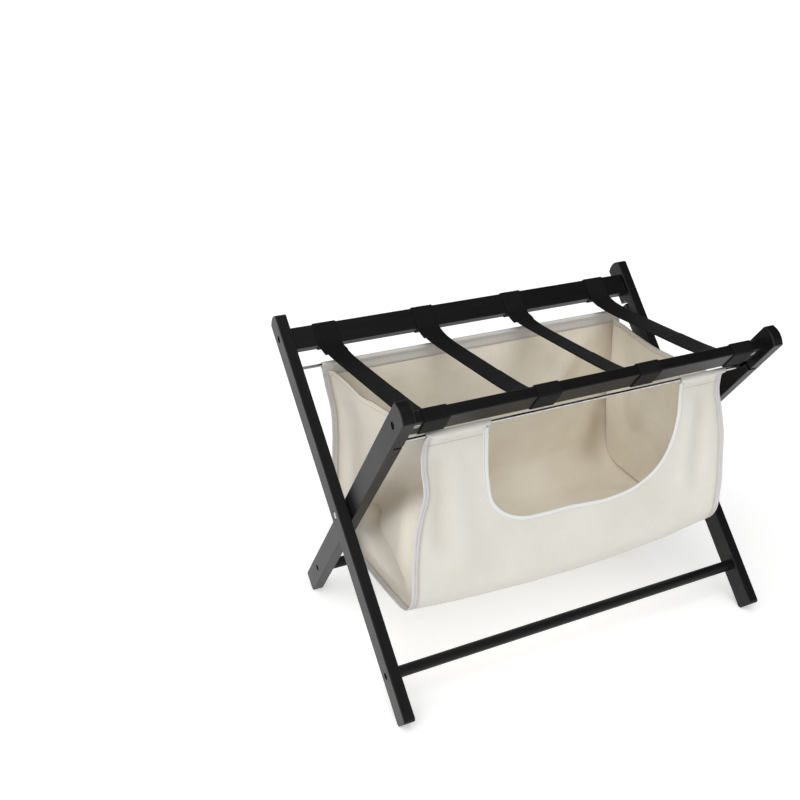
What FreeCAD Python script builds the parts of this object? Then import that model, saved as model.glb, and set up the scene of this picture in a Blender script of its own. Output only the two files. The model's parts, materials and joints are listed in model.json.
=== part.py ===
import FreeCAD, Part
import math
import os

# Folding luggage rack with a hanging canvas bag.
# Row frame: X along the rails, +Y to the back, +Z up, origin on the floor under the middle.
# Millimetres throughout.

V = FreeCAD.Vector
X_AXIS = V(1, 0, 0)
Y_AXIS = V(0, 1, 0)

# ---- scissor frames ---------------------------------------------------------------------
RACK_LENGTH = 660.0          # over the outer faces of the outer legs
LEG_ANGLE = 48.14            # leg to floor, open
LEG_REACH = 326.5            # pivot to either end of a leg, along its edge
LEG_WIDTH = 35.0
LEG_THICKNESS = 18.0
LEG_TOP_BULGE = 4.0          # how far the domed top stands above its corners
LEG_TOP_CORNER = 3.0
LEG_FOOT_CORNER = 5.5
LEG_EDGE_ROUND = 1.2
WASHER_THICKNESS = 1.2       # between an outer and an inner leg
FOLD_TRAVEL = 77.4           # inner legs meet the front stretcher just beyond this

RAIL_WIDTH = 36.0            # along the leg
RAIL_THICKNESS = 17.0
RAIL_CENTRE = 287.5          # pivot to rail centre, along the leg
RAIL_EDGE_ROUND = 2.0
STRETCHER_DIAMETER = 18.0
STRETCHER_CENTRE = -251.5    # pivot to stretcher axis, along the leg

# ---- fasteners --------------------------------------------------------------------------
BOLT_SHANK_RADIUS = 3.0
BOLT_HOLE_RADIUS = 3.2
BOLT_HEAD_RADIUS = 5.0
BOLT_HEAD_HEIGHT = 5.0
BOLT_HEAD_ROUND = 0.6
BOLT_RECESS_RADIUS = 5.6
BOLT_RECESS_DEPTH = 7.0
HEX_SOCKET_ACROSS = 4.0
HEX_SOCKET_DEPTH = 3.0
RAIL_BOLT_AT = 293.0         # pivot to rail bolt, along the leg
BARREL_NUT_RADIUS = 5.0
BARREL_NUT_INSET = 13.0      # rail end to barrel nut axis
BARREL_NUT_LENGTH = 15.0
BARREL_NUT_SET_IN = 0.2
BARREL_NUT_SKIN = 1.5        # wood left over the blind end of its hole
BARREL_NUT_SLOT_WIDTH = 1.4
BARREL_NUT_SLOT_DEPTH = 1.0
RAIL_PIN_AT = 277.0          # pivot to locating pin, along the leg
RAIL_PIN_RADIUS = 3.0
RAIL_PIN_IN_LEG = 10.0
RAIL_PIN_IN_RAIL = 14.0
RAIL_PIN_CHAMFER = 0.8
INSERT_RADIUS = 4.5
INSERT_LENGTH = 13.0
BOLT_TAIL_ROOM = 7.0         # bored past the insert for the bolt's end
PIVOT_SCREW_RADIUS = 2.5
PIVOT_HEAD_RADIUS = 6.0
PIVOT_HEAD_HEIGHT = 2.2
PIVOT_HEAD_ROUND = 1.6
PIVOT_CROSS_LENGTH = 6.0
PIVOT_CROSS_WIDTH = 1.0
PIVOT_CROSS_DEPTH = 1.5
PIVOT_SCREW_SHORT_BY = 3.0   # the screw ends this far inside the sleeve
PIVOT_RECESS_RADIUS = 6.6
PIVOT_RECESS_DEPTH = 2.4
SLEEVE_RADIUS = 4.0
SLEEVE_RUNNING_GAP = 0.08
SLEEVE_FLANGE_RADIUS = 7.0
SLEEVE_FLANGE_HEIGHT = 1.6
SLEEVE_FLANGE_ROUND = 0.8
WASHER_RADIUS = 11.0
SMALL_GAP = 0.3              # between bodies that move past each other
FIT_GAP = 0.1                # between pieces that are fixed together
THREAD_GAP = 0.02
OVERCUT = 1.0                # a cutting shape stands this far out of what it cuts
EDGE_TOLERANCE = 0.01        # for picking the edges to round

# ---- bag rods and their notches ---------------------------------------------------------
ROD_RADIUS = 2.5
ROD_AT = 240.6               # pivot to rod, along the leg
ROD_OFFSET = -2.7            # from the leg's centre line, towards its lower edge
NOTCH_WIDTH = 5.6
NOTCH_DEPTH = 13.5           # from the leg's inner face
ROD_IN_NOTCH = 13.0
NOTCH_MOUTH_AT = 255.5       # pivot to the notch's mouth, along the leg

# ---- webbing ----------------------------------------------------------------------------
STRAP_CENTRES = (-254.0, -84.0, 84.0, 254.0)
STRAP_WIDTH = 38.0
WEBBING = 1.6
STRAP_HANG_ANGLE = 49.3      # how far each half drops when the rack is folded
STRAP_TAB_LENGTH = 30.0      # doubled end beside each rail

# ---- bag --------------------------------------------------------------------------------
CANVAS = 1.5
SLEEVE_OUTER = 4.6           # hem sleeve round a rod
SLEEVE_INNER = 2.8
BAG_FRONT_TOP_HALF = 256.0
BAG_FRONT_LOW_HALF = 279.0
BAG_BACK_HALF = 280.0
BAG_BOTTOM = 122.0           # underside, above the floor
BAG_CORNER = 58.0            # round between an upright panel and the bottom
BAG_SIDE_SAG = 12.0          # dip of the side panels' top edge
FRONT_OPENING_LEFT = -154.0
FRONT_OPENING_RIGHT = 176.0
FRONT_OPENING_FLOOR = 262.0
FRONT_OPENING_ROUND_LEFT = 54.0
FRONT_OPENING_ROUND_RIGHT = 84.0
BINDING_WIDTH = 7.0
BINDING_PROUD = 0.6
PAST_BAG = 60.0              # cutting shapes reach this far past the bag

# ---- worked out -------------------------------------------------------------------------
TILT = 90.0 - LEG_ANGLE
COS = math.cos(math.radians(LEG_ANGLE))
SIN = math.sin(math.radians(LEG_ANGLE))
HALF_WIDTH = LEG_WIDTH / 2
PIVOT_HEIGHT = (LEG_REACH * SIN + HALF_WIDTH * COS
                - LEG_FOOT_CORNER * (SIN + COS - 1))
OUTER_LEG_X = RACK_LENGTH / 2 - LEG_THICKNESS              # inner face of an outer leg
INNER_LEG_X = OUTER_LEG_X - WASHER_THICKNESS - LEG_THICKNESS   # inner face of an inner leg
ROD_Y = ROD_AT * COS - ROD_OFFSET * SIN
ROD_Z = PIVOT_HEIGHT + ROD_AT * SIN + ROD_OFFSET * COS
RAIL_LOW = RAIL_CENTRE - RAIL_WIDTH / 2
RAIL_HIGH = RAIL_CENTRE + RAIL_WIDTH / 2
STRAP_CORNER_Y = RAIL_LOW * COS - RAIL_THICKNESS / 2 * SIN
STRAP_CORNER_Z = PIVOT_HEIGHT + RAIL_LOW * SIN + RAIL_THICKNESS / 2 * COS
PANEL_TOP = ROD_Z - SLEEVE_OUTER - SMALL_GAP


def open_out(shape, outer):
    """Leg frame (X, Y across the leg, Z up the leg, origin at the pivot) to the row frame.

    The inner frame leans to the front; the outer frame is its mirror image and leans back."""
    placed = shape.copy()
    placed.rotate(V(0, 0, 0), X_AXIS, TILT)
    placed.translate(V(0, 0, PIVOT_HEIGHT))
    if outer:
        placed = placed.mirror(V(0, 0, 0), Y_AXIS)
    return placed


def both_sides(shape):
    """A shape on the left and its mirror image on the right, as separate solids."""
    return Part.makeCompound([shape, shape.mirror(V(0, 0, 0), X_AXIS)])


def rod_x(radius, start, length, y, z):
    return Part.makeCylinder(radius, length, V(start, y, z), X_AXIS)


def flat_across(edge):
    """True where an edge lies in one plane of constant X."""
    return edge.BoundBox.XLength < EDGE_TOLERANCE


def rims_at(shape, x):
    """The edges of a shape that lie in the plane at x."""
    return [edge for edge in shape.Edges
            if flat_across(edge) and abs(edge.BoundBox.XMin - x) < EDGE_TOLERANCE]


# ---- legs -------------------------------------------------------------------------------
def leg_outline():
    """Side view of a leg: domed top, square foot with rounded corners."""
    top = LEG_REACH
    corner = LEG_TOP_CORNER
    foot = LEG_FOOT_CORNER
    lean = corner * (1 - math.sqrt(0.5))
    drop = foot * (1 - math.sqrt(0.5))
    low = -LEG_REACH

    def at(y, z):
        return V(0, y, z)

    edges = [
        Part.LineSegment(at(HALF_WIDTH, low + foot), at(HALF_WIDTH, top - corner)).toShape(),
        Part.Arc(at(HALF_WIDTH, top - corner), at(HALF_WIDTH - lean, top - lean),
                 at(HALF_WIDTH - corner, top)).toShape(),
        Part.Arc(at(HALF_WIDTH - corner, top), at(0, top + LEG_TOP_BULGE),
                 at(corner - HALF_WIDTH, top)).toShape(),
        Part.Arc(at(corner - HALF_WIDTH, top), at(lean - HALF_WIDTH, top - lean),
                 at(-HALF_WIDTH, top - corner)).toShape(),
        Part.LineSegment(at(-HALF_WIDTH, top - corner), at(-HALF_WIDTH, low + foot)).toShape(),
        Part.Arc(at(-HALF_WIDTH, low + foot), at(drop - HALF_WIDTH, low + drop),
                 at(foot - HALF_WIDTH, low)).toShape(),
        Part.LineSegment(at(foot - HALF_WIDTH, low), at(HALF_WIDTH - foot, low)).toShape(),
        Part.Arc(at(HALF_WIDTH - foot, low), at(HALF_WIDTH - drop, low + drop),
                 at(HALF_WIDTH, low + foot)).toShape(),
    ]
    return Part.Wire(edges)


def rod_notch(face_x):
    """Hooked slot in a left leg's inner face: in from the lower edge, then down to a round seat."""
    start = face_x - NOTCH_DEPTH
    half = NOTCH_WIDTH / 2
    depth = NOTCH_DEPTH + OVERCUT
    mouth = Part.makeBox(depth, HALF_WIDTH + ROD_OFFSET + OVERCUT, NOTCH_WIDTH,
                         V(start, -HALF_WIDTH - OVERCUT, NOTCH_MOUTH_AT - half))
    bend = rod_x(half, start, depth, ROD_OFFSET, NOTCH_MOUTH_AT)
    hook = Part.makeBox(depth, NOTCH_WIDTH, NOTCH_MOUTH_AT - ROD_AT,
                        V(start, ROD_OFFSET - half, ROD_AT))
    seat = rod_x(half, start, depth, ROD_OFFSET, ROD_AT)
    return mouth.fuse([bend, hook, seat])


def left_leg(inner_face_x, pivot_bore, pivot_recess):
    """Leg on the left, with its bolt recesses, pivot bore, locating pin hole and rod notch."""
    outer_face_x = inner_face_x - LEG_THICKNESS
    board = Part.Face(leg_outline()).extrude(V(LEG_THICKNESS, 0, 0))
    board.translate(V(outer_face_x, 0, 0))
    rims = [edge for edge in board.Edges if flat_across(edge)]
    board = board.makeFillet(LEG_EDGE_ROUND, rims)
    outside = outer_face_x - OVERCUT
    through = LEG_THICKNESS + 2 * OVERCUT
    cuts = [rod_notch(inner_face_x)]
    for height in (RAIL_BOLT_AT, STRETCHER_CENTRE):
        cuts.append(rod_x(BOLT_HOLE_RADIUS, outside, through, 0, height))
        cuts.append(rod_x(BOLT_RECESS_RADIUS, outside, BOLT_RECESS_DEPTH + OVERCUT, 0, height))
    cuts.append(rod_x(pivot_bore, outside, through, 0, 0))
    if pivot_recess:
        cuts.append(rod_x(PIVOT_RECESS_RADIUS, outside, PIVOT_RECESS_DEPTH + OVERCUT, 0, 0))
    cuts.append(rod_x(RAIL_PIN_RADIUS + FIT_GAP, inner_face_x - RAIL_PIN_IN_LEG - FIT_GAP,
                      RAIL_PIN_IN_LEG + FIT_GAP + OVERCUT, 0, RAIL_PIN_AT))
    return board.cut(cuts)


# ---- rails and stretchers ---------------------------------------------------------------
def rail(half_length):
    """Flat board between two legs, bored for its bolts, barrel nuts and locating pins."""
    board = Part.makeBox(2 * half_length, RAIL_THICKNESS, RAIL_WIDTH,
                         V(-half_length, -RAIL_THICKNESS / 2, RAIL_LOW))
    long_edges = [edge for edge in board.Edges if not flat_across(edge)]
    board = board.makeFillet(RAIL_EDGE_ROUND, long_edges)
    outside = -half_length - OVERCUT
    bolt_hole = rod_x(BOLT_HOLE_RADIUS, outside, BARREL_NUT_INSET + 2 * BARREL_NUT_RADIUS + OVERCUT,
                      0, RAIL_BOLT_AT)
    nut_hole = Part.makeCylinder(BARREL_NUT_RADIUS + FIT_GAP, RAIL_THICKNESS - BARREL_NUT_SKIN + OVERCUT,
                                 V(BARREL_NUT_INSET - half_length, -RAIL_THICKNESS / 2 - OVERCUT,
                                   RAIL_BOLT_AT), Y_AXIS)
    pin_hole = rod_x(RAIL_PIN_RADIUS + FIT_GAP, outside, RAIL_PIN_IN_RAIL + FIT_GAP + OVERCUT,
                     0, RAIL_PIN_AT)
    cuts = []
    for hole in (bolt_hole, nut_hole, pin_hole):
        cuts.append(hole)
        cuts.append(hole.mirror(V(0, 0, 0), X_AXIS))
    return board.cut(cuts)


def stretcher(half_length):
    """Round bar between the legs, bored at its ends for the threaded inserts."""
    bar = rod_x(STRETCHER_DIAMETER / 2, -half_length, 2 * half_length, 0, STRETCHER_CENTRE)
    bore = rod_x(INSERT_RADIUS + FIT_GAP, -half_length - OVERCUT, INSERT_LENGTH + FIT_GAP + OVERCUT,
                 0, STRETCHER_CENTRE)
    tail = rod_x(BOLT_HOLE_RADIUS, -half_length, INSERT_LENGTH + BOLT_TAIL_ROOM, 0, STRETCHER_CENTRE)
    bore = bore.fuse(tail)
    return bar.cut([bore, bore.mirror(V(0, 0, 0), X_AXIS)])


# ---- fasteners --------------------------------------------------------------------------
def hex_prism(across, length, x, y, z):
    radius = across / math.sqrt(3)
    corners = [V(x, y + radius * math.cos(math.radians(60 * k)),
                 z + radius * math.sin(math.radians(60 * k))) for k in range(6)]
    return Part.Face(Part.makePolygon(corners + corners[:1])).extrude(V(length, 0, 0))


def left_bolt(outer_face_x, height, length):
    """Socket head bolt, its head at the bottom of the recess in a left leg's outer face."""
    seat = outer_face_x + BOLT_RECESS_DEPTH
    head = rod_x(BOLT_HEAD_RADIUS, seat - BOLT_HEAD_HEIGHT, BOLT_HEAD_HEIGHT, 0, height)
    head = head.makeFillet(BOLT_HEAD_ROUND, rims_at(head, seat - BOLT_HEAD_HEIGHT))
    shank = rod_x(BOLT_SHANK_RADIUS, seat, length, 0, height)
    socket = hex_prism(HEX_SOCKET_ACROSS, HEX_SOCKET_DEPTH + OVERCUT,
                       seat - BOLT_HEAD_HEIGHT - OVERCUT, 0, height)
    return head.fuse(shank).cut(socket)


def left_barrel_nut(rail_half_length):
    """Cross dowel in a rail, with the threaded hole that takes the rail bolt."""
    x = BARREL_NUT_INSET - rail_half_length
    body = Part.makeCylinder(BARREL_NUT_RADIUS, BARREL_NUT_LENGTH,
                             V(x, BARREL_NUT_SET_IN - RAIL_THICKNESS / 2, RAIL_BOLT_AT), Y_AXIS)
    slot = Part.makeBox(2 * BARREL_NUT_RADIUS, BARREL_NUT_SET_IN + BARREL_NUT_SLOT_DEPTH,
                        BARREL_NUT_SLOT_WIDTH,
                        V(x - BARREL_NUT_RADIUS, -RAIL_THICKNESS / 2,
                          RAIL_BOLT_AT - BARREL_NUT_SLOT_WIDTH / 2))
    reach = BARREL_NUT_RADIUS + OVERCUT
    thread = rod_x(BOLT_SHANK_RADIUS + THREAD_GAP, x - reach, 2 * reach, 0, RAIL_BOLT_AT)
    return body.cut([slot, thread])


def left_insert(half_length):
    body = rod_x(INSERT_RADIUS, -half_length, INSERT_LENGTH, 0, STRETCHER_CENTRE)
    thread = rod_x(BOLT_SHANK_RADIUS + THREAD_GAP, -half_length - OVERCUT, INSERT_LENGTH + 2 * OVERCUT,
                   0, STRETCHER_CENTRE)
    return body.cut(thread)


def left_rail_pin(half_length):
    pin = rod_x(RAIL_PIN_RADIUS, -half_length - RAIL_PIN_IN_LEG,
                RAIL_PIN_IN_LEG + RAIL_PIN_IN_RAIL, 0, RAIL_PIN_AT)
    ends = [edge for edge in pin.Edges if flat_across(edge)]
    return pin.makeChamfer(RAIL_PIN_CHAMFER, ends)


def left_pivot_screw():
    """Domed cross-recess screw through the outer leg into the sleeve nut."""
    face = -OUTER_LEG_X - LEG_THICKNESS + PIVOT_RECESS_DEPTH
    head = rod_x(PIVOT_HEAD_RADIUS, face - PIVOT_HEAD_HEIGHT, PIVOT_HEAD_HEIGHT, 0, 0)
    head = head.makeFillet(PIVOT_HEAD_ROUND, rims_at(head, face - PIVOT_HEAD_HEIGHT))
    length = -INNER_LEG_X - face - PIVOT_SCREW_SHORT_BY
    shank = rod_x(PIVOT_SCREW_RADIUS, face, length, 0, 0)
    cross = []
    for width, height in ((PIVOT_CROSS_LENGTH, PIVOT_CROSS_WIDTH), (PIVOT_CROSS_WIDTH, PIVOT_CROSS_LENGTH)):
        cross.append(Part.makeBox(PIVOT_CROSS_DEPTH + OVERCUT, width, height,
                                  V(face - PIVOT_HEAD_HEIGHT - OVERCUT, -width / 2, -height / 2)))
    return head.fuse(shank).cut(cross)


def left_sleeve_nut():
    """Flanged sleeve that the inner leg turns on."""
    start = -OUTER_LEG_X - LEG_THICKNESS / 2
    face = -INNER_LEG_X + SMALL_GAP
    tube = rod_x(SLEEVE_RADIUS, start, face - start, 0, 0)
    flange = rod_x(SLEEVE_FLANGE_RADIUS, face, SLEEVE_FLANGE_HEIGHT, 0, 0)
    flange = flange.makeFillet(SLEEVE_FLANGE_ROUND, rims_at(flange, face + SLEEVE_FLANGE_HEIGHT))
    thread = rod_x(PIVOT_SCREW_RADIUS + THREAD_GAP, start - OVERCUT, face - start - OVERCUT, 0, 0)
    return tube.fuse(flange).cut(thread)


def left_washer():
    """Spacer between the legs, round the sleeve."""
    ring = rod_x(WASHER_RADIUS, -OUTER_LEG_X, WASHER_THICKNESS - SMALL_GAP, 0, 0)
    hole = rod_x(SLEEVE_RADIUS + FIT_GAP, -OUTER_LEG_X - OVERCUT, WASHER_THICKNESS + 2 * OVERCUT, 0, 0)
    return ring.cut(hole)


def pivot_bore_in_outer_leg(leg):
    """The sleeve ends half way into the outer leg, so the bore there is stepped."""
    step = rod_x(SLEEVE_RADIUS + FIT_GAP, -OUTER_LEG_X - LEG_THICKNESS / 2, LEG_THICKNESS, 0, 0)
    return leg.cut(step)


# ---- webbing ----------------------------------------------------------------------------
def rounded_block(length, y_half, z_low, z_high, radius, x):
    block = Part.makeBox(length, 2 * y_half, z_high - z_low, V(x, -y_half, z_low))
    long_edges = [edge for edge in block.Edges if not flat_across(edge)]
    return block.makeFillet(radius, long_edges)


def strap_loop(centre):
    """Sewn loop of webbing round a rail, in the leg frame."""
    x = centre - STRAP_WIDTH / 2
    half = RAIL_THICKNESS / 2
    skin = FIT_GAP + WEBBING
    outside = rounded_block(STRAP_WIDTH, half + skin, RAIL_LOW - skin, RAIL_HIGH + skin,
                            RAIL_EDGE_ROUND + skin, x)
    inside = rounded_block(STRAP_WIDTH + 2 * OVERCUT, half + FIT_GAP, RAIL_LOW - FIT_GAP,
                           RAIL_HIGH + FIT_GAP, RAIL_EDGE_ROUND + FIT_GAP, x - OVERCUT)
    return outside.cut(inside)


def strap_half(centre, towards_back):
    """Half of the span between the rails, with the doubled tab beside its own rail."""
    start = STRAP_CORNER_Y - WEBBING - 2 * SMALL_GAP
    x = centre - STRAP_WIDTH / 2
    low = STRAP_CORNER_Z - WEBBING / 2
    span = Part.makeBox(STRAP_WIDTH, start - SMALL_GAP / 2, WEBBING, V(x, SMALL_GAP / 2, low))
    tab = Part.makeBox(STRAP_WIDTH, STRAP_TAB_LENGTH, WEBBING,
                       V(x, start - STRAP_TAB_LENGTH, low - WEBBING))
    half = span.fuse(tab).removeSplitter()
    if not towards_back:
        half = half.mirror(V(0, 0, 0), Y_AXIS)
    return half


# ---- bag --------------------------------------------------------------------------------
def bag_section(inset):
    """Side view of the bag's body: two upright panels and a bottom with round corners."""
    front = -ROD_Y - CANVAS / 2 + inset
    back = -front
    bottom = BAG_BOTTOM + inset
    corner = BAG_CORNER - inset
    lean = corner * (1 - math.sqrt(0.5))

    def at(y, z):
        return V(0, y, z)

    edges = [
        Part.LineSegment(at(front, PANEL_TOP), at(front, bottom + corner)).toShape(),
        Part.Arc(at(front, bottom + corner), at(front + lean, bottom + lean),
                 at(front + corner, bottom)).toShape(),
        Part.LineSegment(at(front + corner, bottom), at(back - corner, bottom)).toShape(),
        Part.Arc(at(back - corner, bottom), at(back - lean, bottom + lean),
                 at(back, bottom + corner)).toShape(),
        Part.LineSegment(at(back, bottom + corner), at(back, PANEL_TOP)).toShape(),
        Part.LineSegment(at(back, PANEL_TOP), at(front, PANEL_TOP)).toShape(),
    ]
    return Part.Face(Part.Wire(edges))


def bag_block(inset):
    """Solid with the bag's side view, far longer than the bag."""
    block = bag_section(inset).extrude(V(RACK_LENGTH, 0, 0))
    block.translate(V(-RACK_LENGTH / 2, 0, 0))
    return block


def side_slab(reach):
    """Slab outside (reach > 0) or inside the right-hand side surface of the bag.

    The bag is narrower at its front hem, between the inner legs, than low down or at the back."""
    low = BAG_BOTTOM - PAST_BAG
    reach_y = ROD_Y + PAST_BAG
    slope = (BAG_FRONT_LOW_HALF - BAG_FRONT_TOP_HALF) / (PANEL_TOP - BAG_BOTTOM - BAG_CORNER)

    def front_half(z):
        return BAG_FRONT_TOP_HALF + slope * (PANEL_TOP - z)

    def corner(y, z):
        share = (y + ROD_Y) / (2 * ROD_Y)
        return V((1 - share) * front_half(z) + share * BAG_BACK_HALF, y, z)

    high = PANEL_TOP + PAST_BAG
    front_edge = Part.LineSegment(corner(-reach_y, low), corner(-reach_y, high)).toShape()
    back_edge = Part.LineSegment(corner(reach_y, low), corner(reach_y, high)).toShape()
    return Part.makeRuledSurface(front_edge, back_edge).extrude(V(reach, 0, 0))


def trim_to_sides(shape):
    """Cuts away what lies outside the bag's two side surfaces."""
    beyond = side_slab(2 * PAST_BAG)
    return shape.cut([beyond, beyond.mirror(V(0, 0, 0), X_AXIS)])


def opening_outline(grow):
    """Front view of the front opening, as a face in the XZ plane, grown or shrunk all round."""
    left = FRONT_OPENING_LEFT - grow
    right = FRONT_OPENING_RIGHT + grow
    floor = FRONT_OPENING_FLOOR - grow
    round_left = FRONT_OPENING_ROUND_LEFT + grow
    round_right = FRONT_OPENING_ROUND_RIGHT + grow
    lean_left = round_left * (1 - math.sqrt(0.5))
    lean_right = round_right * (1 - math.sqrt(0.5))
    top = PANEL_TOP + PAST_BAG

    def at(x, z):
        return V(x, 0, z)

    edges = [
        Part.LineSegment(at(left, top), at(left, floor + round_left)).toShape(),
        Part.Arc(at(left, floor + round_left), at(left + lean_left, floor + lean_left),
                 at(left + round_left, floor)).toShape(),
        Part.LineSegment(at(left + round_left, floor), at(right - round_right, floor)).toShape(),
        Part.Arc(at(right - round_right, floor), at(right - lean_right, floor + lean_right),
                 at(right, floor + round_right)).toShape(),
        Part.LineSegment(at(right, floor + round_right), at(right, top)).toShape(),
        Part.LineSegment(at(right, top), at(left, top)).toShape(),
    ]
    return Part.Face(Part.Wire(edges))


def opening_prism(grow, depth):
    """Block of the front opening's shape, standing equally far out of both faces of the panel."""
    prism = opening_outline(grow).extrude(V(0, depth, 0))
    prism.translate(V(0, -ROD_Y - depth / 2, 0))
    return prism


def slab_between(y_low, y_high):
    return Part.makeBox(RACK_LENGTH, y_high - y_low, 2 * PANEL_TOP, V(-RACK_LENGTH / 2, y_low, 0))


def bag_front_panel(skin):
    edge = BAG_CORNER - ROD_Y
    upright = skin.common(slab_between(-ROD_Y - PAST_BAG, edge))
    return upright.cut(opening_prism(0, 2 * CANVAS))


def bag_bottom_panel(skin):
    edge = ROD_Y - BAG_CORNER
    return skin.common(slab_between(-edge, edge))


def bag_back_panel(skin):
    return skin.common(slab_between(ROD_Y - BAG_CORNER, ROD_Y + PAST_BAG))


def bag_side_right():
    """End panel of the bag, its top edge dipping between the rods."""
    wall = side_slab(-CANVAS).common(bag_block(CANVAS + FIT_GAP))
    half = ROD_Y - CANVAS
    above = PANEL_TOP + PAST_BAG
    edges = [
        Part.Arc(V(0, -half, PANEL_TOP), V(0, 0, PANEL_TOP - BAG_SIDE_SAG), V(0, half, PANEL_TOP)).toShape(),
        Part.LineSegment(V(0, half, PANEL_TOP), V(0, half, above)).toShape(),
        Part.LineSegment(V(0, half, above), V(0, -half, above)).toShape(),
        Part.LineSegment(V(0, -half, above), V(0, -half, PANEL_TOP)).toShape(),
    ]
    dip = Part.Face(Part.Wire(edges)).extrude(V(RACK_LENGTH / 2, 0, 0))
    return wall.cut(dip)


def opening_binding():
    """Folded tape round the front opening, thicker than the panel that it grips."""
    depth = CANVAS + 2 * BINDING_PROUD
    ring = opening_prism(BINDING_WIDTH, depth).cut(opening_prism(-BINDING_PROUD, 2 * depth))
    grip = opening_prism(BINDING_WIDTH + OVERCUT, CANVAS).cut(opening_prism(0, 2 * CANVAS))
    headroom = Part.makeBox(RACK_LENGTH, PAST_BAG, 2 * PAST_BAG,
                            V(-RACK_LENGTH / 2, -ROD_Y - PAST_BAG / 2, PANEL_TOP))
    return ring.cut([grip, headroom])


def hem_sleeve(start, end, y):
    tube = rod_x(SLEEVE_OUTER, start, end - start, y, ROD_Z)
    bore = rod_x(SLEEVE_INNER, start - OVERCUT, end - start + 2 * OVERCUT, y, ROD_Z)
    return tube.cut(bore)


# ---- the nodes --------------------------------------------------------------------------
def build():
    nodes = {}
    outer_leg = pivot_bore_in_outer_leg(
        left_leg(-OUTER_LEG_X, PIVOT_SCREW_RADIUS + FIT_GAP, True))
    inner_leg = left_leg(-INNER_LEG_X, SLEEVE_RADIUS + SLEEVE_RUNNING_GAP, False)
    frames = {
        "outer": (True, outer_leg, OUTER_LEG_X, "back", "front"),
        "inner": (False, inner_leg, INNER_LEG_X, "front", "back"),
    }
    for name, (outer, leg, half_length, rail_side, stretcher_side) in frames.items():
        face = -half_length - LEG_THICKNESS
        bolt_start = LEG_THICKNESS - BOLT_RECESS_DEPTH
        rail_bolt_length = bolt_start + BARREL_NUT_INSET + BARREL_NUT_RADIUS
        stretcher_bolt_length = bolt_start + INSERT_LENGTH + BOLT_TAIL_ROOM / 2
        pieces = {
            f"{name}_leg_left": leg,
            f"{name}_leg_right": leg.mirror(V(0, 0, 0), X_AXIS),
            f"{rail_side}_rail": rail(half_length),
            f"{stretcher_side}_stretcher": stretcher(half_length),
            f"{rail_side}_rail_bolts": both_sides(left_bolt(face, RAIL_BOLT_AT, rail_bolt_length)),
            f"{rail_side}_rail_barrel_nuts": both_sides(left_barrel_nut(half_length)),
            f"{rail_side}_rail_pins": both_sides(left_rail_pin(half_length)),
            f"{stretcher_side}_stretcher_bolts": both_sides(
                left_bolt(face, STRETCHER_CENTRE, stretcher_bolt_length)),
            f"{stretcher_side}_stretcher_inserts": both_sides(left_insert(half_length)),
            f"{rail_side}_bag_rod": rod_x(
                ROD_RADIUS, -half_length - ROD_IN_NOTCH, 2 * (half_length + ROD_IN_NOTCH),
                ROD_OFFSET, ROD_AT),
        }
        for number, centre in enumerate(STRAP_CENTRES, 1):
            pieces[f"strap_{number}_{rail_side}_loop"] = strap_loop(centre)
        for node, shape in pieces.items():
            nodes[node] = open_out(shape, outer)

    for number, centre in enumerate(STRAP_CENTRES, 1):
        nodes[f"strap_{number}_back_half"] = strap_half(centre, True)
        nodes[f"strap_{number}_front_half"] = strap_half(centre, False)

    for node, shape in {
        "pivot_screws": both_sides(left_pivot_screw()),
        "pivot_sleeve_nuts": both_sides(left_sleeve_nut()),
        "pivot_washers": both_sides(left_washer()),
    }.items():
        nodes[node] = open_out(shape, True)

    skin = trim_to_sides(bag_block(0).cut(bag_block(CANVAS)))
    side = bag_side_right()
    nodes["bag_front_panel"] = bag_front_panel(skin)
    nodes["bag_bottom_panel"] = bag_bottom_panel(skin)
    nodes["bag_back_panel"] = bag_back_panel(skin)
    nodes["bag_side_left"] = side.mirror(V(0, 0, 0), X_AXIS)
    nodes["bag_side_right"] = side
    nodes["bag_opening_binding"] = opening_binding()
    hem = BAG_FRONT_TOP_HALF
    nodes["bag_front_hem_left"] = hem_sleeve(-hem, FRONT_OPENING_LEFT - BINDING_PROUD, -ROD_Y)
    nodes["bag_front_hem_right"] = hem_sleeve(FRONT_OPENING_RIGHT + BINDING_PROUD, hem, -ROD_Y)
    nodes["bag_back_hem"] = hem_sleeve(-BAG_BACK_HALF, BAG_BACK_HALF, ROD_Y)
    return nodes


os.makedirs("parts", exist_ok=True)
NODES = build()
for name, shape in NODES.items():
    solids = len(shape.Solids)
    print(f"{name:32s} solids {solids} valid {shape.isValid()} volume {shape.Volume / 1000:9.2f} cm3")
    shape.exportStep(f"parts/{name}.step")
print(f"{len(NODES)} nodes, pivot {PIVOT_HEIGHT:.2f}, rod y {ROD_Y:.2f} z {ROD_Z:.2f}, "
      f"strap corner y {STRAP_CORNER_Y:.2f} z {STRAP_CORNER_Z:.2f}")
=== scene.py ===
import json
import math

import bmesh
import bpy
import numpy as np
from mathutils import Matrix, Vector, noise


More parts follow.
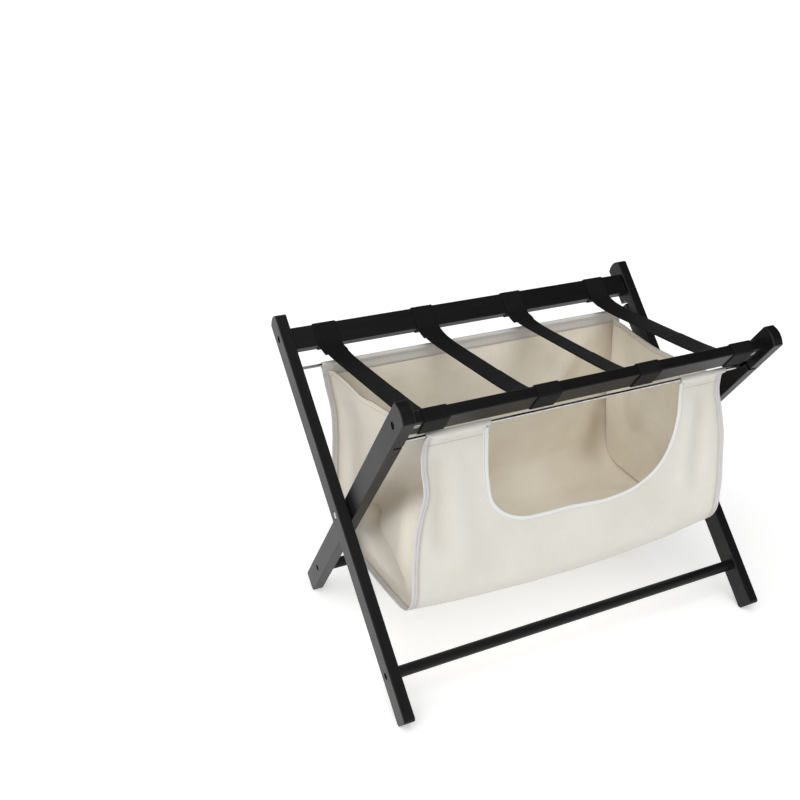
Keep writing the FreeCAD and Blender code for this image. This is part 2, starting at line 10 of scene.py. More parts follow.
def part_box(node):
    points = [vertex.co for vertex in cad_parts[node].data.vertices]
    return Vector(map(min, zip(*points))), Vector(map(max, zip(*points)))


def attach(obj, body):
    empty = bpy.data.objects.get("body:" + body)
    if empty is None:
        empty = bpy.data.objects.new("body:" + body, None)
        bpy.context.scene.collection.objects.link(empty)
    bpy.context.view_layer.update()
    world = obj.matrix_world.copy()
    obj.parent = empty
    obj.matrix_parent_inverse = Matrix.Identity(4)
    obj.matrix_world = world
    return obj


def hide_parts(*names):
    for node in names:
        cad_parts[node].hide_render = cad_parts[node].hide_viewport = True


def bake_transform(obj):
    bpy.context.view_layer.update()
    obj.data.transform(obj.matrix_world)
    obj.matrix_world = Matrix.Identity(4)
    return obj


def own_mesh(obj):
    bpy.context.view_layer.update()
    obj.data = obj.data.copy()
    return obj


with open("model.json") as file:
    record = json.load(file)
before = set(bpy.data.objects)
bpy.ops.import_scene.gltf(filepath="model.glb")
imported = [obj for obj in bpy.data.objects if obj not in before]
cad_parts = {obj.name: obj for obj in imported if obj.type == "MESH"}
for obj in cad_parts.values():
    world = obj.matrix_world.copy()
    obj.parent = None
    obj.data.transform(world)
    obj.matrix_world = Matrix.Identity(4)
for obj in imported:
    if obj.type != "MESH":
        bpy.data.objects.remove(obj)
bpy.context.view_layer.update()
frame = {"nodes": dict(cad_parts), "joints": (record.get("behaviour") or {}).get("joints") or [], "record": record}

# Folding luggage rack with a hanging canvas bag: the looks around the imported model.
# Lengths are millimetres in the row frame (X along the rails, +Y to the back, +Z up, floor at 0)
# until a mesh is made; MM turns them into Blender's metres.
MM = 0.001

# ---- places taken from the frame --------------------------------------------------------


def centre_of(node):
    low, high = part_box(node)
    return (low + high) / (2 * MM)


def joint(name):
    return next(j for j in frame["joints"] if j["name"] == name)


ROD_Y, ROD_Z = centre_of("back_bag_rod")[1:]
PIVOT_Z = joint("fold")["pos_m"][2] / MM
HINGE_Y, HINGE_Z = (value / MM for value in joint("straps_back_drop")["pos_m"][1:])

# ---- driving dimensions -----------------------------------------------------------------
LEG_ANGLE = 48.14            # leg to floor, open
RAIL_LOW = 269.5             # pivot to a rail's lower edge, along the leg
RAIL_HIGH = 305.5
RAIL_HALF = 8.5              # half of a rail's thickness

STRAP_CENTRES = (-254.0, -84.0, 84.0, 254.0)
STRAP_HALF_WIDTH = 19.0
WEBBING = 1.6
WEBBING_GAP = 0.1            # webbing to rail
STRAP_SAGS = (5.0, 8.0, 8.0, 8.0)
STRAP_ROLLS = (-8.0, -4.0, -8.0, 2.0)        # degrees; slack straps hang slightly twisted
STRAP_DRIFTS = (-2.0, -4.0, -5.0, -5.0)      # and a little to one side
STRAP_TAB = 30.0             # doubled end beside each rail
STRAP_DOUBLE_END = -40.0     # the doubled webbing ends here, across each span

CANVAS = 1.2                 # cloth thickness
CLOTH_CELL = 4.0             # mesh spacing on the cloth
FLANGE = 10.0                # seam allowance that stands out all round each end panel
FLAT_HALF = 280.0            # half of the body strip's flat width
PANEL_Y = ROD_Y              # front and back panels hang straight down from the rods
PANEL_TOP = ROD_Z
HEM_STITCH = 413.0           # height of the stitch line below the rods
HEM_PUFF = 3.7               # the hem's walls stand this far out from its middle at the rod
HEM_NECK = 9.0               # and come together this far below it
SIDE_TOP = 417.0             # end panels start just under the rods
BAG_LOW = 121.0              # lowest line of the bottom
BAG_LOW_X = -20.0
BAG_END_RISE = 19.0          # how much higher the bottom is at its two ends
BAG_CORNER = 57.0            # round between an upright panel and the bottom
SIDE_BOW = 5.0               # how far the end panels' top edge leans inwards
SLEEVE_RADIUS = 3.7          # middle of the cloth round a rod

# ---- camera and light -------------------------------------------------------------------
CAMERA_AZIMUTH = -28.59
CAMERA_ELEVATION = 27.14
CAMERA_ROLL = -0.24
CAMERA_DISTANCE = 1698.5
CAMERA_TARGET = (-62.8, 0.0, 232.1)
LENS = 47.13                 # on a 36 mm sensor
SHIFT = (-0.1131, 0.1103)    # the rack stands low and to the right in the picture


# ======================================================================== small tools ====
def link(obj):
    bpy.context.scene.collection.objects.link(obj)
    return obj


def new_piece(name, points, faces, uvs=None, painted_shade=None):
    """Mesh object from points in millimetres, with flat coordinates and a share of painted crease shade from 0 to
    1.
    """
    mesh = bpy.data.meshes.new(name)
    mesh.from_pydata((np.asarray(points, float) * MM).tolist(), [], faces)
    if uvs is not None:
        corner = np.zeros(len(mesh.loops), np.int32)
        mesh.loops.foreach_get("vertex_index", corner)
        layer = mesh.uv_layers.new(name="cloth")
        layer.data.foreach_set("uv", (np.asarray(uvs, float) * MM)[corner].ravel())
    if painted_shade is not None:
        # The crease attribute carries the share of painted shade that the cloth materials darken by.
        layer = mesh.attributes.new("crease", "FLOAT", "POINT")
        layer.data.foreach_set("value", np.asarray(painted_shade, np.float32))
    mesh.polygons.foreach_set("use_smooth", [True] * len(mesh.polygons))
    mesh.update()
    return link(bpy.data.objects.new(name, mesh))


def grid_faces(rows, columns, around=False, flip=False):
    """Quads of a rows x columns grid of points; around joins the last column to the first."""
    faces = []
    for row in range(rows - 1):
        for column in range(columns if around else columns - 1):
            beside = (column + 1) % columns
            quad = (row * columns + column, (row + 1) * columns + column,
                    (row + 1) * columns + beside, row * columns + beside)
            faces.append(quad[::-1] if flip else quad)
    return faces


def smooth_step(t):
    t = np.clip(t, 0, 1)
    return t * t * (3 - 2 * t)


def curve_through(knots, at):
    """Smooth curve through (position, value) knots, read at the positions given."""
    knots = np.asarray(knots, float)
    where, value = knots[:, 0], knots[:, 1]
    slope = np.gradient(value, where)
    at = np.clip(np.asarray(at, float), where[0], where[-1])
    k = np.clip(np.searchsorted(where, at, side="right") - 1, 0, len(where) - 2)
    span = where[k + 1] - where[k]
    t = (at - where[k]) / span
    return ((2 * t**3 - 3 * t**2 + 1) * value[k] + (t**3 - 2 * t**2 + t) * span * slope[k]
            + (3 * t**2 - 2 * t**3) * value[k + 1] + (t**3 - t**2) * span * slope[k + 1])


def lengths_along(points):
    """Distance along a polyline to each of its points."""
    return np.r_[0, np.cumsum(np.linalg.norm(np.diff(points, axis=0), axis=1))]


def unit_rows(vectors):
    return vectors / np.linalg.norm(vectors, axis=1, keepdims=True)


def path_through(points, spacing):
    """Evenly spaced points on a smooth curve through a few plane or space points."""
    points = np.asarray(points, float)
    run = lengths_along(points)
    fine = np.linspace(0, run[-1], 1200)
    line = np.stack([curve_through(np.c_[run, points[:, k]], fine) for k in range(points.shape[1])], 1)
    return spaced(line, spacing)


def spaced(line, spacing):
    """The same polyline with evenly spaced points."""
    run = lengths_along(line)
    count = max(2, int(round(run[-1] / spacing)) + 1)
    at = np.linspace(0, run[-1], count)
    return np.stack([np.interp(at, run, line[:, k]) for k in range(line.shape[1])], 1)


def rounded_path(corners, radii, step=1.2):
    """Polyline through plane corners, each inner corner rounded with its radius."""
    corners = [np.asarray(c, float) for c in corners]
    line = [corners[0]]
    for before, corner, after, radius in zip(corners, corners[1:], corners[2:], radii):
        come = (corner - before) / np.linalg.norm(corner - before)
        leave = (after - corner) / np.linalg.norm(after - corner)
        turn = math.acos(np.clip(come @ leave, -1, 1))
        cut = radius * math.tan(turn / 2)
        start = corner - come * cut
        side = leave - come * (come @ leave)
        side /= np.linalg.norm(side)
        middle = start + side * radius
        count = max(3, int(math.ceil(radius * turn / step)) + 1)
        for angle in np.linspace(0, turn, count):
            line.append(middle - side * radius * math.cos(angle) + come * radius * math.sin(angle))
    line.append(corners[-1])
    return np.array(line)


def ripple(points, size, seed):
    """Smooth noise from -1 to 1 at each point; size is the length of a wave."""
    shift = Vector((seed * 17.3, seed * 5.1, seed * 9.7))
    return np.array([noise.noise(Vector(p) / size + shift) for p in points])


def vertex_normals(grid):
    """Unit normals of a grid of points (rows x columns x 3), down the rows crossed with across."""
    down = np.gradient(grid, axis=0)
    across = np.gradient(grid, axis=1)
    normal = np.cross(down, across)
    return normal / np.maximum(np.linalg.norm(normal, axis=2, keepdims=True), 1e-9)


def thicken(obj, thickness, inner_material=False):
    solid = obj.modifiers.new("thickness", "SOLIDIFY")
    solid.thickness = thickness * MM
    solid.offset = 0
    if inner_material:
        solid.material_offset = 1
    return obj


# =========================================================================== materials ====
def new_material(name):
    material = bpy.data.materials.new(name)
    material.use_nodes = True
    tree = material.node_tree
    return material, tree, tree.nodes["Principled BSDF"]


def add(tree, kind, **values):
    """Adds a node; values set its properties, or its inputs where the name is an input's."""
    node = tree.nodes.new("ShaderNode" + kind)
    for key, value in values.items():
        if hasattr(node, key):
            setattr(node, key, value)
        else:
            node.inputs[key.replace("_", " ")].default_value = value
    return node


def ramp(tree, source, stops):
    """Colour ramp fed by source; stops are (position, grey or colour)."""
    node = tree.nodes.new("ShaderNodeValToRGB")
    elements = node.color_ramp.elements
    while len(elements) < len(stops):
        elements.new(0.5)
    for element, (position, value) in zip(elements, stops):
        element.position = position
        element.color = (value, value, value, 1) if isinstance(value, float) else (*value, 1)
    tree.links.new(source, node.inputs["Fac"])
    return node.outputs["Color"]


def maths(tree, operation, a, b=0.0):
    node = tree.nodes.new("ShaderNodeMath")
    node.operation = operation
    for socket, value in zip(node.inputs, (a, b)):
        if isinstance(value, (int, float)):
            socket.default_value = value
        else:
            tree.links.new(value, socket)
    return node.outputs[0]


def mixed(tree, factor, a, b):
    """Colour mix; a and b are colours or sockets."""
    node = tree.nodes.new("ShaderNodeMix")
    node.data_type = "RGBA"
    for key, value in (("Factor", factor), ("A", a), ("B", b)):
        kind = "VALUE" if key == "Factor" else "RGBA"
        socket = next(s for s in node.inputs if s.name == key and s.type == kind)
        if isinstance(value, (int, float)):
            socket.default_value = value
        elif isinstance(value, tuple):
            socket.default_value = (*value, 1)
        else:
            tree.links.new(value, socket)
    return next(s for s in node.outputs if s.type == "RGBA")


def bumped(tree, shader, height, distance, strength=1.0, below=None):
    bump = tree.nodes.new("ShaderNodeBump")
    bump.inputs["Strength"].default_value = strength
    bump.inputs["Distance"].default_value = distance
    tree.links.new(height, bump.inputs["Height"])
    if below is not None:
        tree.links.new(below, bump.inputs["Normal"])
    tree.links.new(bump.outputs["Normal"], shader.inputs["Normal"])
    return bump.outputs["Normal"]


def object_coordinates(tree, turn=(0, 0, 0), scale=(1, 1, 1)):
    """Coordinates in the row frame, turned and then stretched."""
    place = tree.nodes.new("ShaderNodeTexCoord")
    turned = tree.nodes.new("ShaderNodeMapping")
    turned.inputs["Rotation"].default_value = turn
    stretched = tree.nodes.new("ShaderNodeMapping")
    stretched.inputs["Scale"].default_value = scale
    tree.links.new(place.outputs["Object"], turned.inputs["Vector"])
    tree.links.new(turned.outputs["Vector"], stretched.inputs["Vector"])
    return stretched.outputs["Vector"]


def cloth_coordinates(tree, scale=(1, 1, 1)):
    place = tree.nodes.new("ShaderNodeUVMap")
    place.uv_map = "cloth"
    mapping = tree.nodes.new("ShaderNodeMapping")
    mapping.inputs["Scale"].default_value = scale
    tree.links.new(place.outputs["UV"], mapping.inputs["Vector"])
    return mapping.outputs["Vector"]


def noise_at(tree, vector, scale, detail=2.0, roughness=0.5):
    node = add(tree, "TexNoise", Scale=scale, Detail=detail, Roughness=roughness)
    tree.links.new(vector, node.inputs["Vector"])
    return node.outputs["Fac"]


def woven(tree, vector, pitch):
    """Plain weave height, 0 to 1: warp and weft threads pass over each other; pitch in metres."""
    split = tree.nodes.new("ShaderNodeSeparateXYZ")
    tree.links.new(vector, split.inputs[0])
    turn = math.pi / pitch
    across = maths(tree, "SINE", maths(tree, "MULTIPLY", split.outputs["X"], turn))
    along = maths(tree, "SINE", maths(tree, "MULTIPLY", split.outputs["Y"], turn))
    over = maths(tree, "MULTIPLY", across, along)
    warp = maths(tree, "MULTIPLY", maths(tree, "ABSOLUTE", across), maths(tree, "MAXIMUM", over, 0.0))
    weft = maths(tree, "MULTIPLY", maths(tree, "ABSOLUTE", along),
                 maths(tree, "MAXIMUM", maths(tree, "MULTIPLY", over, -1.0), 0.0))
    return maths(tree, "POWER", maths(tree, "ADD", warp, weft), 0.6)


def painted_wood(name, turn, long_axis):
    """Satin black paint over open grain that runs along long_axis of the turned coordinates."""
    material, tree, shader = new_material(name)
    stretch = [26.0, 26.0, 26.0]
    stretch[long_axis] = 1.3
    grain_space = object_coordinates(tree, turn, tuple(stretch))
    pores = noise_at(tree, grain_space, 22.0, 3.0, 0.6)
    rings = noise_at(tree, grain_space, 4.0, 2.0, 0.5)
    cloud = noise_at(tree, object_coordinates(tree), 9.0, 3.0, 0.55)
    tone = mixed(tree, ramp(tree, rings, [(0.3, 0.0), (0.75, 1.0)]), (0.0036, 0.0036, 0.0041),
                 (0.0066, 0.0064, 0.0068))
    bevel = tree.nodes.new("ShaderNodeBevel")
    bevel.samples = 4
    bevel.inputs["Radius"].default_value = 0.0016
    geometry = tree.nodes.new("ShaderNodeNewGeometry")
    facing = tree.nodes.new("ShaderNodeVectorMath")
    facing.operation = "DOT_PRODUCT"
    tree.links.new(bevel.outputs["Normal"], facing.inputs[0])
    tree.links.new(geometry.outputs["Normal"], facing.inputs[1])
    # Lighter edges: partly real rubbed wear on the paint, partly a painted highlight along the bevelled edges.
    rubbed_edge_and_highlight = ramp(tree, facing.outputs["Value"], [(0.86, 1.0), (0.995, 0.0)])
    patchy = ramp(tree, noise_at(tree, object_coordinates(tree), 60.0, 3.0, 0.6), [(0.42, 0.0), (0.62, 1.0)])
    wear = maths(tree, "MULTIPLY", rubbed_edge_and_highlight, maths(tree, "ADD", maths(tree, "MULTIPLY", patchy, 0.55), 0.25))
    colour = mixed(tree, wear, tone, (0.085, 0.083, 0.085))
    tree.links.new(colour, shader.inputs["Base Color"])
    rough = maths(tree, "ADD", maths(tree, "MULTIPLY", cloud, 0.12), 0.26)
    rough = maths(tree, "ADD", rough, maths(tree, "MULTIPLY", pores, 0.06))
    tree.links.new(rough, shader.inputs["Roughness"])
    shader.inputs["Specular IOR Level"].default_value = 0.2
    shader.inputs["Coat Weight"].default_value = 0.03
    shader.inputs["Coat Roughness"].default_value = 0.22
    height = maths(tree, "ADD", maths(tree, "MULTIPLY", ramp(tree, pores, [(0.35, 0.0), (0.55, 1.0)]), 0.8),
                   maths(tree, "MULTIPLY", cloud, 0.5))
    bumped(tree, shader, height, 0.00012, 0.5)
    return material


def cloth_material(name, light, dark, weave_pitch, weave_depth, sheen):
    """Cotton canvas: plain weave, slubs, faint creases, uneven tone, and painted shade from the crease attribute.
    """
    material, tree, shader = new_material(name)
    flat = cloth_coordinates(tree)
    weave = woven(tree, flat, weave_pitch)
    slub_across = noise_at(tree, cloth_coordinates(tree, (14, 900, 1)), 1.0, 2.0, 0.6)
    slub_along = noise_at(tree, cloth_coordinates(tree, (900, 14, 1)), 1.0, 2.0, 0.6)
    blotch = noise_at(tree, flat, 9.0, 3.0, 0.55)
    crease = noise_at(tree, flat, 38.0, 4.0, 0.62)
    tone = maths(tree, "ADD", maths(tree, "MULTIPLY", blotch, 0.62),
                 maths(tree, "MULTIPLY", maths(tree, "ADD", slub_across, slub_along), 0.19))
    colour = mixed(tree, ramp(tree, tone, [(0.32, 0.0), (0.68, 1.0)]), dark, light)
    colour = mixed(tree, maths(tree, "MULTIPLY", ramp(tree, weave, [(0.0, 1.0), (0.5, 0.0)]), 0.22), colour,
                   tuple(0.8 * value for value in dark))
    # Painted shade: darkens the cloth towards a warm brown where the crease attribute marks deep folds and seams.
    painted_shade_attribute = tree.nodes.new("ShaderNodeAttribute")
    painted_shade_attribute.attribute_name = "crease"
    colour = mixed(tree, painted_shade_attribute.outputs["Fac"], colour, (0.37, 0.295, 0.20))
    tree.links.new(colour, shader.inputs["Base Color"])
    tree.links.new(maths(tree, "ADD", maths(tree, "MULTIPLY", tone, 0.16), 0.78), shader.inputs["Roughness"])
    shader.inputs["Sheen Weight"].default_value = sheen
    shader.inputs["Sheen Roughness"].default_value = 0.45
    shader.inputs["Specular IOR Level"].default_value = 0.25
    fine = maths(tree, "ADD", weave, maths(tree, "MULTIPLY", maths(tree, "ADD", slub_across, slub_along), 0.7))
    below = bumped(tree, shader, crease, 0.003, 0.5)
    bumped(tree, shader, fine, weave_depth, 0.55, below)
    return material


def webbing_material():
    """Black polypropylene webbing: rows of ribs with a chevron twill between them."""
    material, tree, shader = new_material("webbing")
    split = tree.nodes.new("ShaderNodeSeparateXYZ")
    tree.links.new(cloth_coordinates(tree), split.inputs[0])
    across, along = split.outputs["X"], split.outputs["Y"]
    chevron = maths(tree, "PINGPONG", across, 0.0048)
    slant = maths(tree, "ADD", maths(tree, "MULTIPLY", along, 1.0), chevron)
    ribs = maths(tree, "ABSOLUTE", maths(tree, "SINE", maths(tree, "MULTIPLY", slant, math.pi / 0.0016)))
    cords = maths(tree, "ABSOLUTE", maths(tree, "SINE", maths(tree, "MULTIPLY", across, math.pi / 0.0012)))
    height = maths(tree, "ADD", maths(tree, "MULTIPLY", ribs, 0.7), maths(tree, "MULTIPLY", cords, 0.5))
    fuzz = noise_at(tree, cloth_coordinates(tree), 420.0, 3.0, 0.6)
    patch = noise_at(tree, cloth_coordinates(tree), 30.0, 2.0, 0.5)
    colour = mixed(tree, ramp(tree, height, [(0.1, 0.0), (1.0, 1.0)]), (0.0025, 0.0025, 0.0027),
                   (0.0065, 0.0065, 0.0069))
    colour = mixed(tree, maths(tree, "MULTIPLY", patch, 0.35), colour, (0.0085, 0.0085, 0.009))
    tree.links.new(colour, shader.inputs["Base Color"])
    tree.links.new(maths(tree, "ADD", maths(tree, "MULTIPLY", fuzz, 0.2), 0.52), shader.inputs["Roughness"])
    shader.inputs["Sheen Weight"].default_value = 0.01
    shader.inputs["Sheen Roughness"].default_value = 0.4
    shader.inputs["Specular IOR Level"].default_value = 0.12
    below = bumped(tree, shader, fuzz, 0.0003, 0.3)
    bumped(tree, shader, height, 0.00035, 0.7, below)
    return material


def metal_material(name, colour, roughness, streaks, metallic=1.0):
    """Turned or drawn metal: fine streaks round the axis along X and a little tarnish."""
    material, tree, shader = new_material(name)
    lines = noise_at(tree, object_coordinates(tree, scale=(1500, 60, 60)), 1.0, 2.0, 0.6)
    cloud = noise_at(tree, object_coordinates(tree), 120.0, 3.0, 0.6)
    darker = tuple(0.72 * value for value in colour)
    tone = mixed(tree, ramp(tree, cloud, [(0.35, 0.0), (0.7, 1.0)]), darker, colour)
    tree.links.new(tone, shader.inputs["Base Color"])
    shader.inputs["Metallic"].default_value = metallic
    rough = maths(tree, "ADD", maths(tree, "MULTIPLY", lines, streaks), roughness)
    rough = maths(tree, "ADD", rough, maths(tree, "MULTIPLY", cloud, streaks))
    tree.links.new(rough, shader.inputs["Roughness"])
    bumped(tree, shader, lines, 0.00003, 0.4)
    return material


def plastic_material(name, colour):
    material, tree, shader = new_material(name)
    grit = noise_at(tree, object_coordinates(tree), 900.0, 2.0, 0.5)
    tone = mixed(tree, grit, tuple(0.8 * value for value in colour), colour)
    tree.links.new(tone, shader.inputs["Base Color"])
    tree.links.new(maths(tree, "ADD", maths(tree, "MULTIPLY", grit, 0.2), 0.4), shader.inputs["Roughness"])
    bumped(tree, shader, grit, 0.00004, 0.5)
    return material


def bare_wood_material():
    material, tree, shader = new_material("raw_wood")
    grain = noise_at(tree, object_coordinates(tree, scale=(6, 90, 90)), 6.0, 3.0, 0.6)
    tree.links.new(ramp(tree, grain, [(0.3, (0.42, 0.29, 0.17)), (0.7, (0.62, 0.46, 0.29))]),
                   shader.inputs["Base Color"])
    tree.links.new(maths(tree, "ADD", maths(tree, "MULTIPLY", grain, 0.2), 0.55), shader.inputs["Roughness"])
    bumped(tree, shader, grain, 0.0001, 0.5)
    return material


def thread_material(name, colour):
    """Twisted sewing thread."""
    material, tree, shader = new_material(name)
    split = tree.nodes.new("ShaderNodeSeparateXYZ")
    tree.links.new(object_coordinates(tree), split.inputs[0])
    run = maths(tree, "ADD", maths(tree, "ADD", split.outputs["X"], split.outputs["Y"]), split.outputs["Z"])
    twist = maths(tree, "ABSOLUTE", maths(tree, "SINE", maths(tree, "MULTIPLY", run, math.pi / 0.0005)))
    tone = mixed(tree, twist, tuple(0.75 * value for value in colour), colour)
    tree.links.new(tone, shader.inputs["Base Color"])
    tree.links.new(maths(tree, "ADD", maths(tree, "MULTIPLY", twist, 0.15), 0.5), shader.inputs["Roughness"])
    shader.inputs["Sheen Weight"].default_value = 0.2
    bumped(tree, shader, twist, 0.0001, 0.6)
    return material


CLOTH_LIGHT = (0.735, 0.715, 0.660)
CLOTH_DARK = (0.665, 0.640, 0.575)
TILT = math.radians(90 - LEG_ANGLE)
materials = {
    "wood_outer": painted_wood("black_wood_outer_legs", (TILT, 0, 0), 2),
    "wood_inner": painted_wood("black_wood_inner_legs", (-TILT, 0, 0), 2),
    "wood_across": painted_wood("black_wood_rails", (0, 0, 0), 0),
    "canvas": cloth_material("canvas", CLOTH_LIGHT, CLOTH_DARK, 0.0009, 0.00016, 0.12),
    # The inside face: the same canvas painted lighter and warmer, a painted light for the light and warm
    # interreflection inside the bag.
    "canvas_inside_painted_light": cloth_material("canvas_inside_painted_light", (0.93, 0.885, 0.785), (0.82, 0.75, 0.62),
                                    0.0009, 0.00016, 0.06),
    # The end panels: the same canvas painted lighter and warmer, a painted light for the warm light and shade that
    # falls on them.
    "canvas_end_painted_light": cloth_material("canvas_end_painted_light", (0.80, 0.755, 0.66), (0.70, 0.65, 0.55),
                                 0.0009, 0.00016, 0.12),
    "hem_canvas": cloth_material("hem_canvas", (0.66, 0.65, 0.62), (0.59, 0.575, 0.54), 0.0009, 0.00016, 0.1),
    "seam_tape": cloth_material("seam_tape", (0.640, 0.625, 0.618), (0.585, 0.57, 0.56), 0.0008, 0.00014, 0.1),
    "binding": cloth_material("binding_tape", (0.77, 0.78, 0.755), (0.71, 0.72, 0.695), 0.0006, 0.00012, 0.15),
    "webbing": webbing_material(),
    "chrome_rod": metal_material("chrome_rod", (0.66, 0.66, 0.68), 0.10, 0.06),
    "black_steel": metal_material("black_steel", (0.045, 0.045, 0.05), 0.34, 0.12, 0.9),
    "zinc_steel": metal_material("zinc_steel", (0.70, 0.70, 0.71), 0.22, 0.14),
    "nylon": plastic_material("nylon", (0.03, 0.03, 0.03)),
    "raw_wood": bare_wood_material(),
    "thread": thread_material("seam_thread", (0.42, 0.405, 0.39)),
}


def wear(obj, *names):
    obj.data.materials.clear()
    for name in names:
        obj.data.materials.append(materials[name])
    return obj


def dress_cad_nodes():
    slot_of = {part["node"]: part["material_slot"] for part in frame["record"]["subparts"]}
    for node, obj in frame["nodes"].items():
        name = slot_of[node]
        if name == "black_wood":
            name = "wood_across"
            if node.startswith("outer_leg"):
                name = "wood_outer"
            elif node.startswith("inner_leg"):
                name = "wood_inner"
        wear(obj, name)


# ============================================================================ stitches ====
STITCH_LENGTH = 2.7
STITCH_PITCH = 3.5
THREAD_RADIUS = 0.38


def stitch_mesh(paths, normals, length=STITCH_LENGTH, pitch=STITCH_PITCH, radius=THREAD_RADIUS):
    """Points and faces of short threads lying along paths on a surface with the given normals."""
    points, faces = [], []
    profile = ((-0.5, 0.0, -0.9), (-0.42, 0.75, -0.25), (-0.15, 1.0, 0.15), (0.15, 1.0, 0.15),
               (0.42, 0.75, -0.25), (0.5, 0.0, -0.9))
    sides = 6
    for path, up in zip(paths, normals):
        run = lengths_along(path)
        for middle in np.arange(pitch / 2, run[-1] - pitch / 4, pitch):
            ends = [np.array([np.interp(middle + d * length, run, path[:, k]) for k in range(3)])
                    for d in (-0.5, 0.5)]
            lift = np.array([np.interp(middle, run, up[:, k]) for k in range(3)])
            lift /= np.linalg.norm(lift)
            along = ends[1] - ends[0]
            side = np.cross(along, lift)
            side /= np.linalg.norm(side)
            centre = (ends[0] + ends[1]) / 2
            first = len(points)
            for share, size, height in profile:
                base = centre + along * share + lift * height * radius
                if size == 0:
                    points.append(base)
                    continue
                for k in range(sides):
                    angle = 2 * math.pi * k / sides
                    points.append(base + radius * size * (side * math.cos(angle) + lift * math.sin(angle)))
            last = len(points) - 1
            for k in range(sides):
                beside = (k + 1) % sides
                faces.append((first, first + 1 + k, first + 1 + beside))
                for ring in range(3):
                    low = first + 1 + ring * sides
                    faces.append((low + k, low + sides + k, low + sides + beside, low + beside))
                low = first + 1 + 3 * sides
                faces.append((low + k, last, low + beside))
    return points, faces


# ================================================================================= bag ====
# Outer edge of the body strip, as (distance from the front hem along the strip, x).
LEFT_EDGE = ((0, -250), (24, -257), (50, -258), (98, -256), (132, -266), (169, -273), (212, -277),
             (264, -279), (340, -278), (440, -277), (560, -277), (640, -274), (732, -269), (770, -266),
             (815, -266), (850, -271), (895, -276))
RIGHT_EDGE = ((0, 256), (28, 254), (74, 264), (126, 274), (164, 276), (207, 279), (264, 278),
              (340, 280), (450, 283), (560, 286), (645, 288), (734, 285), (793, 291), (895, 292))
# Edge of the front opening, as (x, z).
OPENING = ((-155, 445), (-155, 400), (-154, 340), (-147, 303), (-128, 281), (-100, 268), (-62, 264.5),
           (-20, 264), (22, 261), (58, 260), (98, 264.5), (132, 278), (156, 303), (169, 335),
           (175, 374), (176, 405), (176, 445))
# Long soft folds, as (start, end, half width, height). Heights are outwards.
FRONT_FOLDS = (
    ((-236, 400), (-228, 250), 16, -5.0),
    ((-205, 380), (-190, 200), 22, 3.0),
    ((-180, 300), (-120, 190), 26, -2.5),
    ((-60, 240), (60, 200), 30, 2.5),
    ((200, 410), (196, 250), 12, 2.6),
    ((222, 400), (226, 230), 12, -2.6),
    ((246, 380), (250, 260), 9, 2.0),
    ((140, 240), (240, 190), 24, -2.4),
    ((20, 250), (120, 170), 28, 2.2),
)
BACK_FOLDS = (
    ((-150, 380), (-110, 220), 30, 4.0),
    ((-40, 400), (-70, 230), 36, -4.0),
    ((110, 400), (60, 250), 30, 3.5),
    ((215, 395), (150, 300), 20, -6.5),
    ((268, 420), (262, 200), 18, 6.0),
    ((235, 330), (200, 200), 26, 4.5),
    ((-240, 400), (-225, 220), 20, 4.0),
)
BOTTOM_FOLDS = (
    ((-230, -60), (-60, 20), 34, 3.0),
    ((60, 30), (230, -50), 34, 3.0),
    ((-200, 60), (-40, 70), 24, -2.5),
    ((200, 70), (255, 20), 20, -4.0),
)
LEFT_FOLDS = (
    ((-150, 368), (58, 208), 22, -17.0),
    ((54, 214), (-88, 160), 18, -12.0),
    ((-30, 370), (70, 310), 32, 6.0),
    ((-112, 320), (-100, 190), 26, 6.0),
    ((110, 330), (70, 170), 22, 3.0),
    ((90, 390), (130, 240), 26, -3.5),
    ((60, 220), (120, 160), 26, 4.0),
)
RIGHT_FOLDS = (
    ((-120, 390), (-60, 240), 30, 4.0),
    ((0, 400), (60, 250), 30, -5.0),
    ((120, 380), (100, 220), 24, 4.0),
    ((-60, 230), (80, 190), 26, -4.0),
)
# Deep folds where painted shade darkens the cloth, with the share of that painted shade as their height.
END_PAINTED_SHADE = {
    "left": (((-150, 368), (58, 208), 32, 0.50), ((-70, 296), (58, 208), 26, 0.28),
             ((54, 214), (-88, 160), 18, 0.20), ((120, 400), (70, 215), 34, 0.14)),
    "right": (((0, 400), (60, 250), 26, 0.16),),
}
BACK_PAINTED_SHADE = (((274, 425), (268, 250), 15, 0.44), ((268, 250), (234, 150), 30, 0.52),
                ((234, 150), (130, 136), 32, 0.20), ((150, 380), (230, 260), 30, 0.08),
                ((-30, 400), (-70, 230), 40, 0.08))
FRONT_PAINTED_SHADE = (((-236, 400), (-226, 240), 18, 0.15), ((222, 400), (226, 240), 14, 0.10))
# Top edge of each end panel, front to back: its drop, and its share of the inward lean.
SIDE_TOP_SAG = {
    "left": ((0, -8.0), (0.12, -4.0), (0.28, 1.0), (0.43, 3.0), (0.55, 5.5), (0.62, 7.5), (0.69, 7.5),
             (0.77, 3.5), (0.85, 1.5), (1, 0.0)),
    "right": ((0, -8.0), (0.1, -5.0), (0.25, 0.0), (0.5, 5.5), (0.72, 4.5), (0.88, 1.0), (1, 0.0)),
}
SIDE_TOP_BOW = ((0, 0.0), (0.2, 0.45), (0.45, 1.0), (0.7, 0.8), (1, 0.0))
SEAM_SHADE = 0.5             # the darker tint in the fold of a seam, and how far it reaches
SEAM_REACH = 2.0
PANEL_ROWS = 80
PANEL_COLUMNS = 96
SEAM_LINE = 9.4              # the end panels are sewn this far in from the strip's edge
SEAM_GROOVE = 0.7            # dip of the strip beside its tape
SEAM_PINCH = 8.0             # the panels dip this far beside their seams


def hem_puff(z):
    """How far a hem wall stands from the middle of the hem at height z."""
    return HEM_PUFF * smooth_step((np.asarray(z, float) - ROD_Z + HEM_NECK) / HEM_NECK)


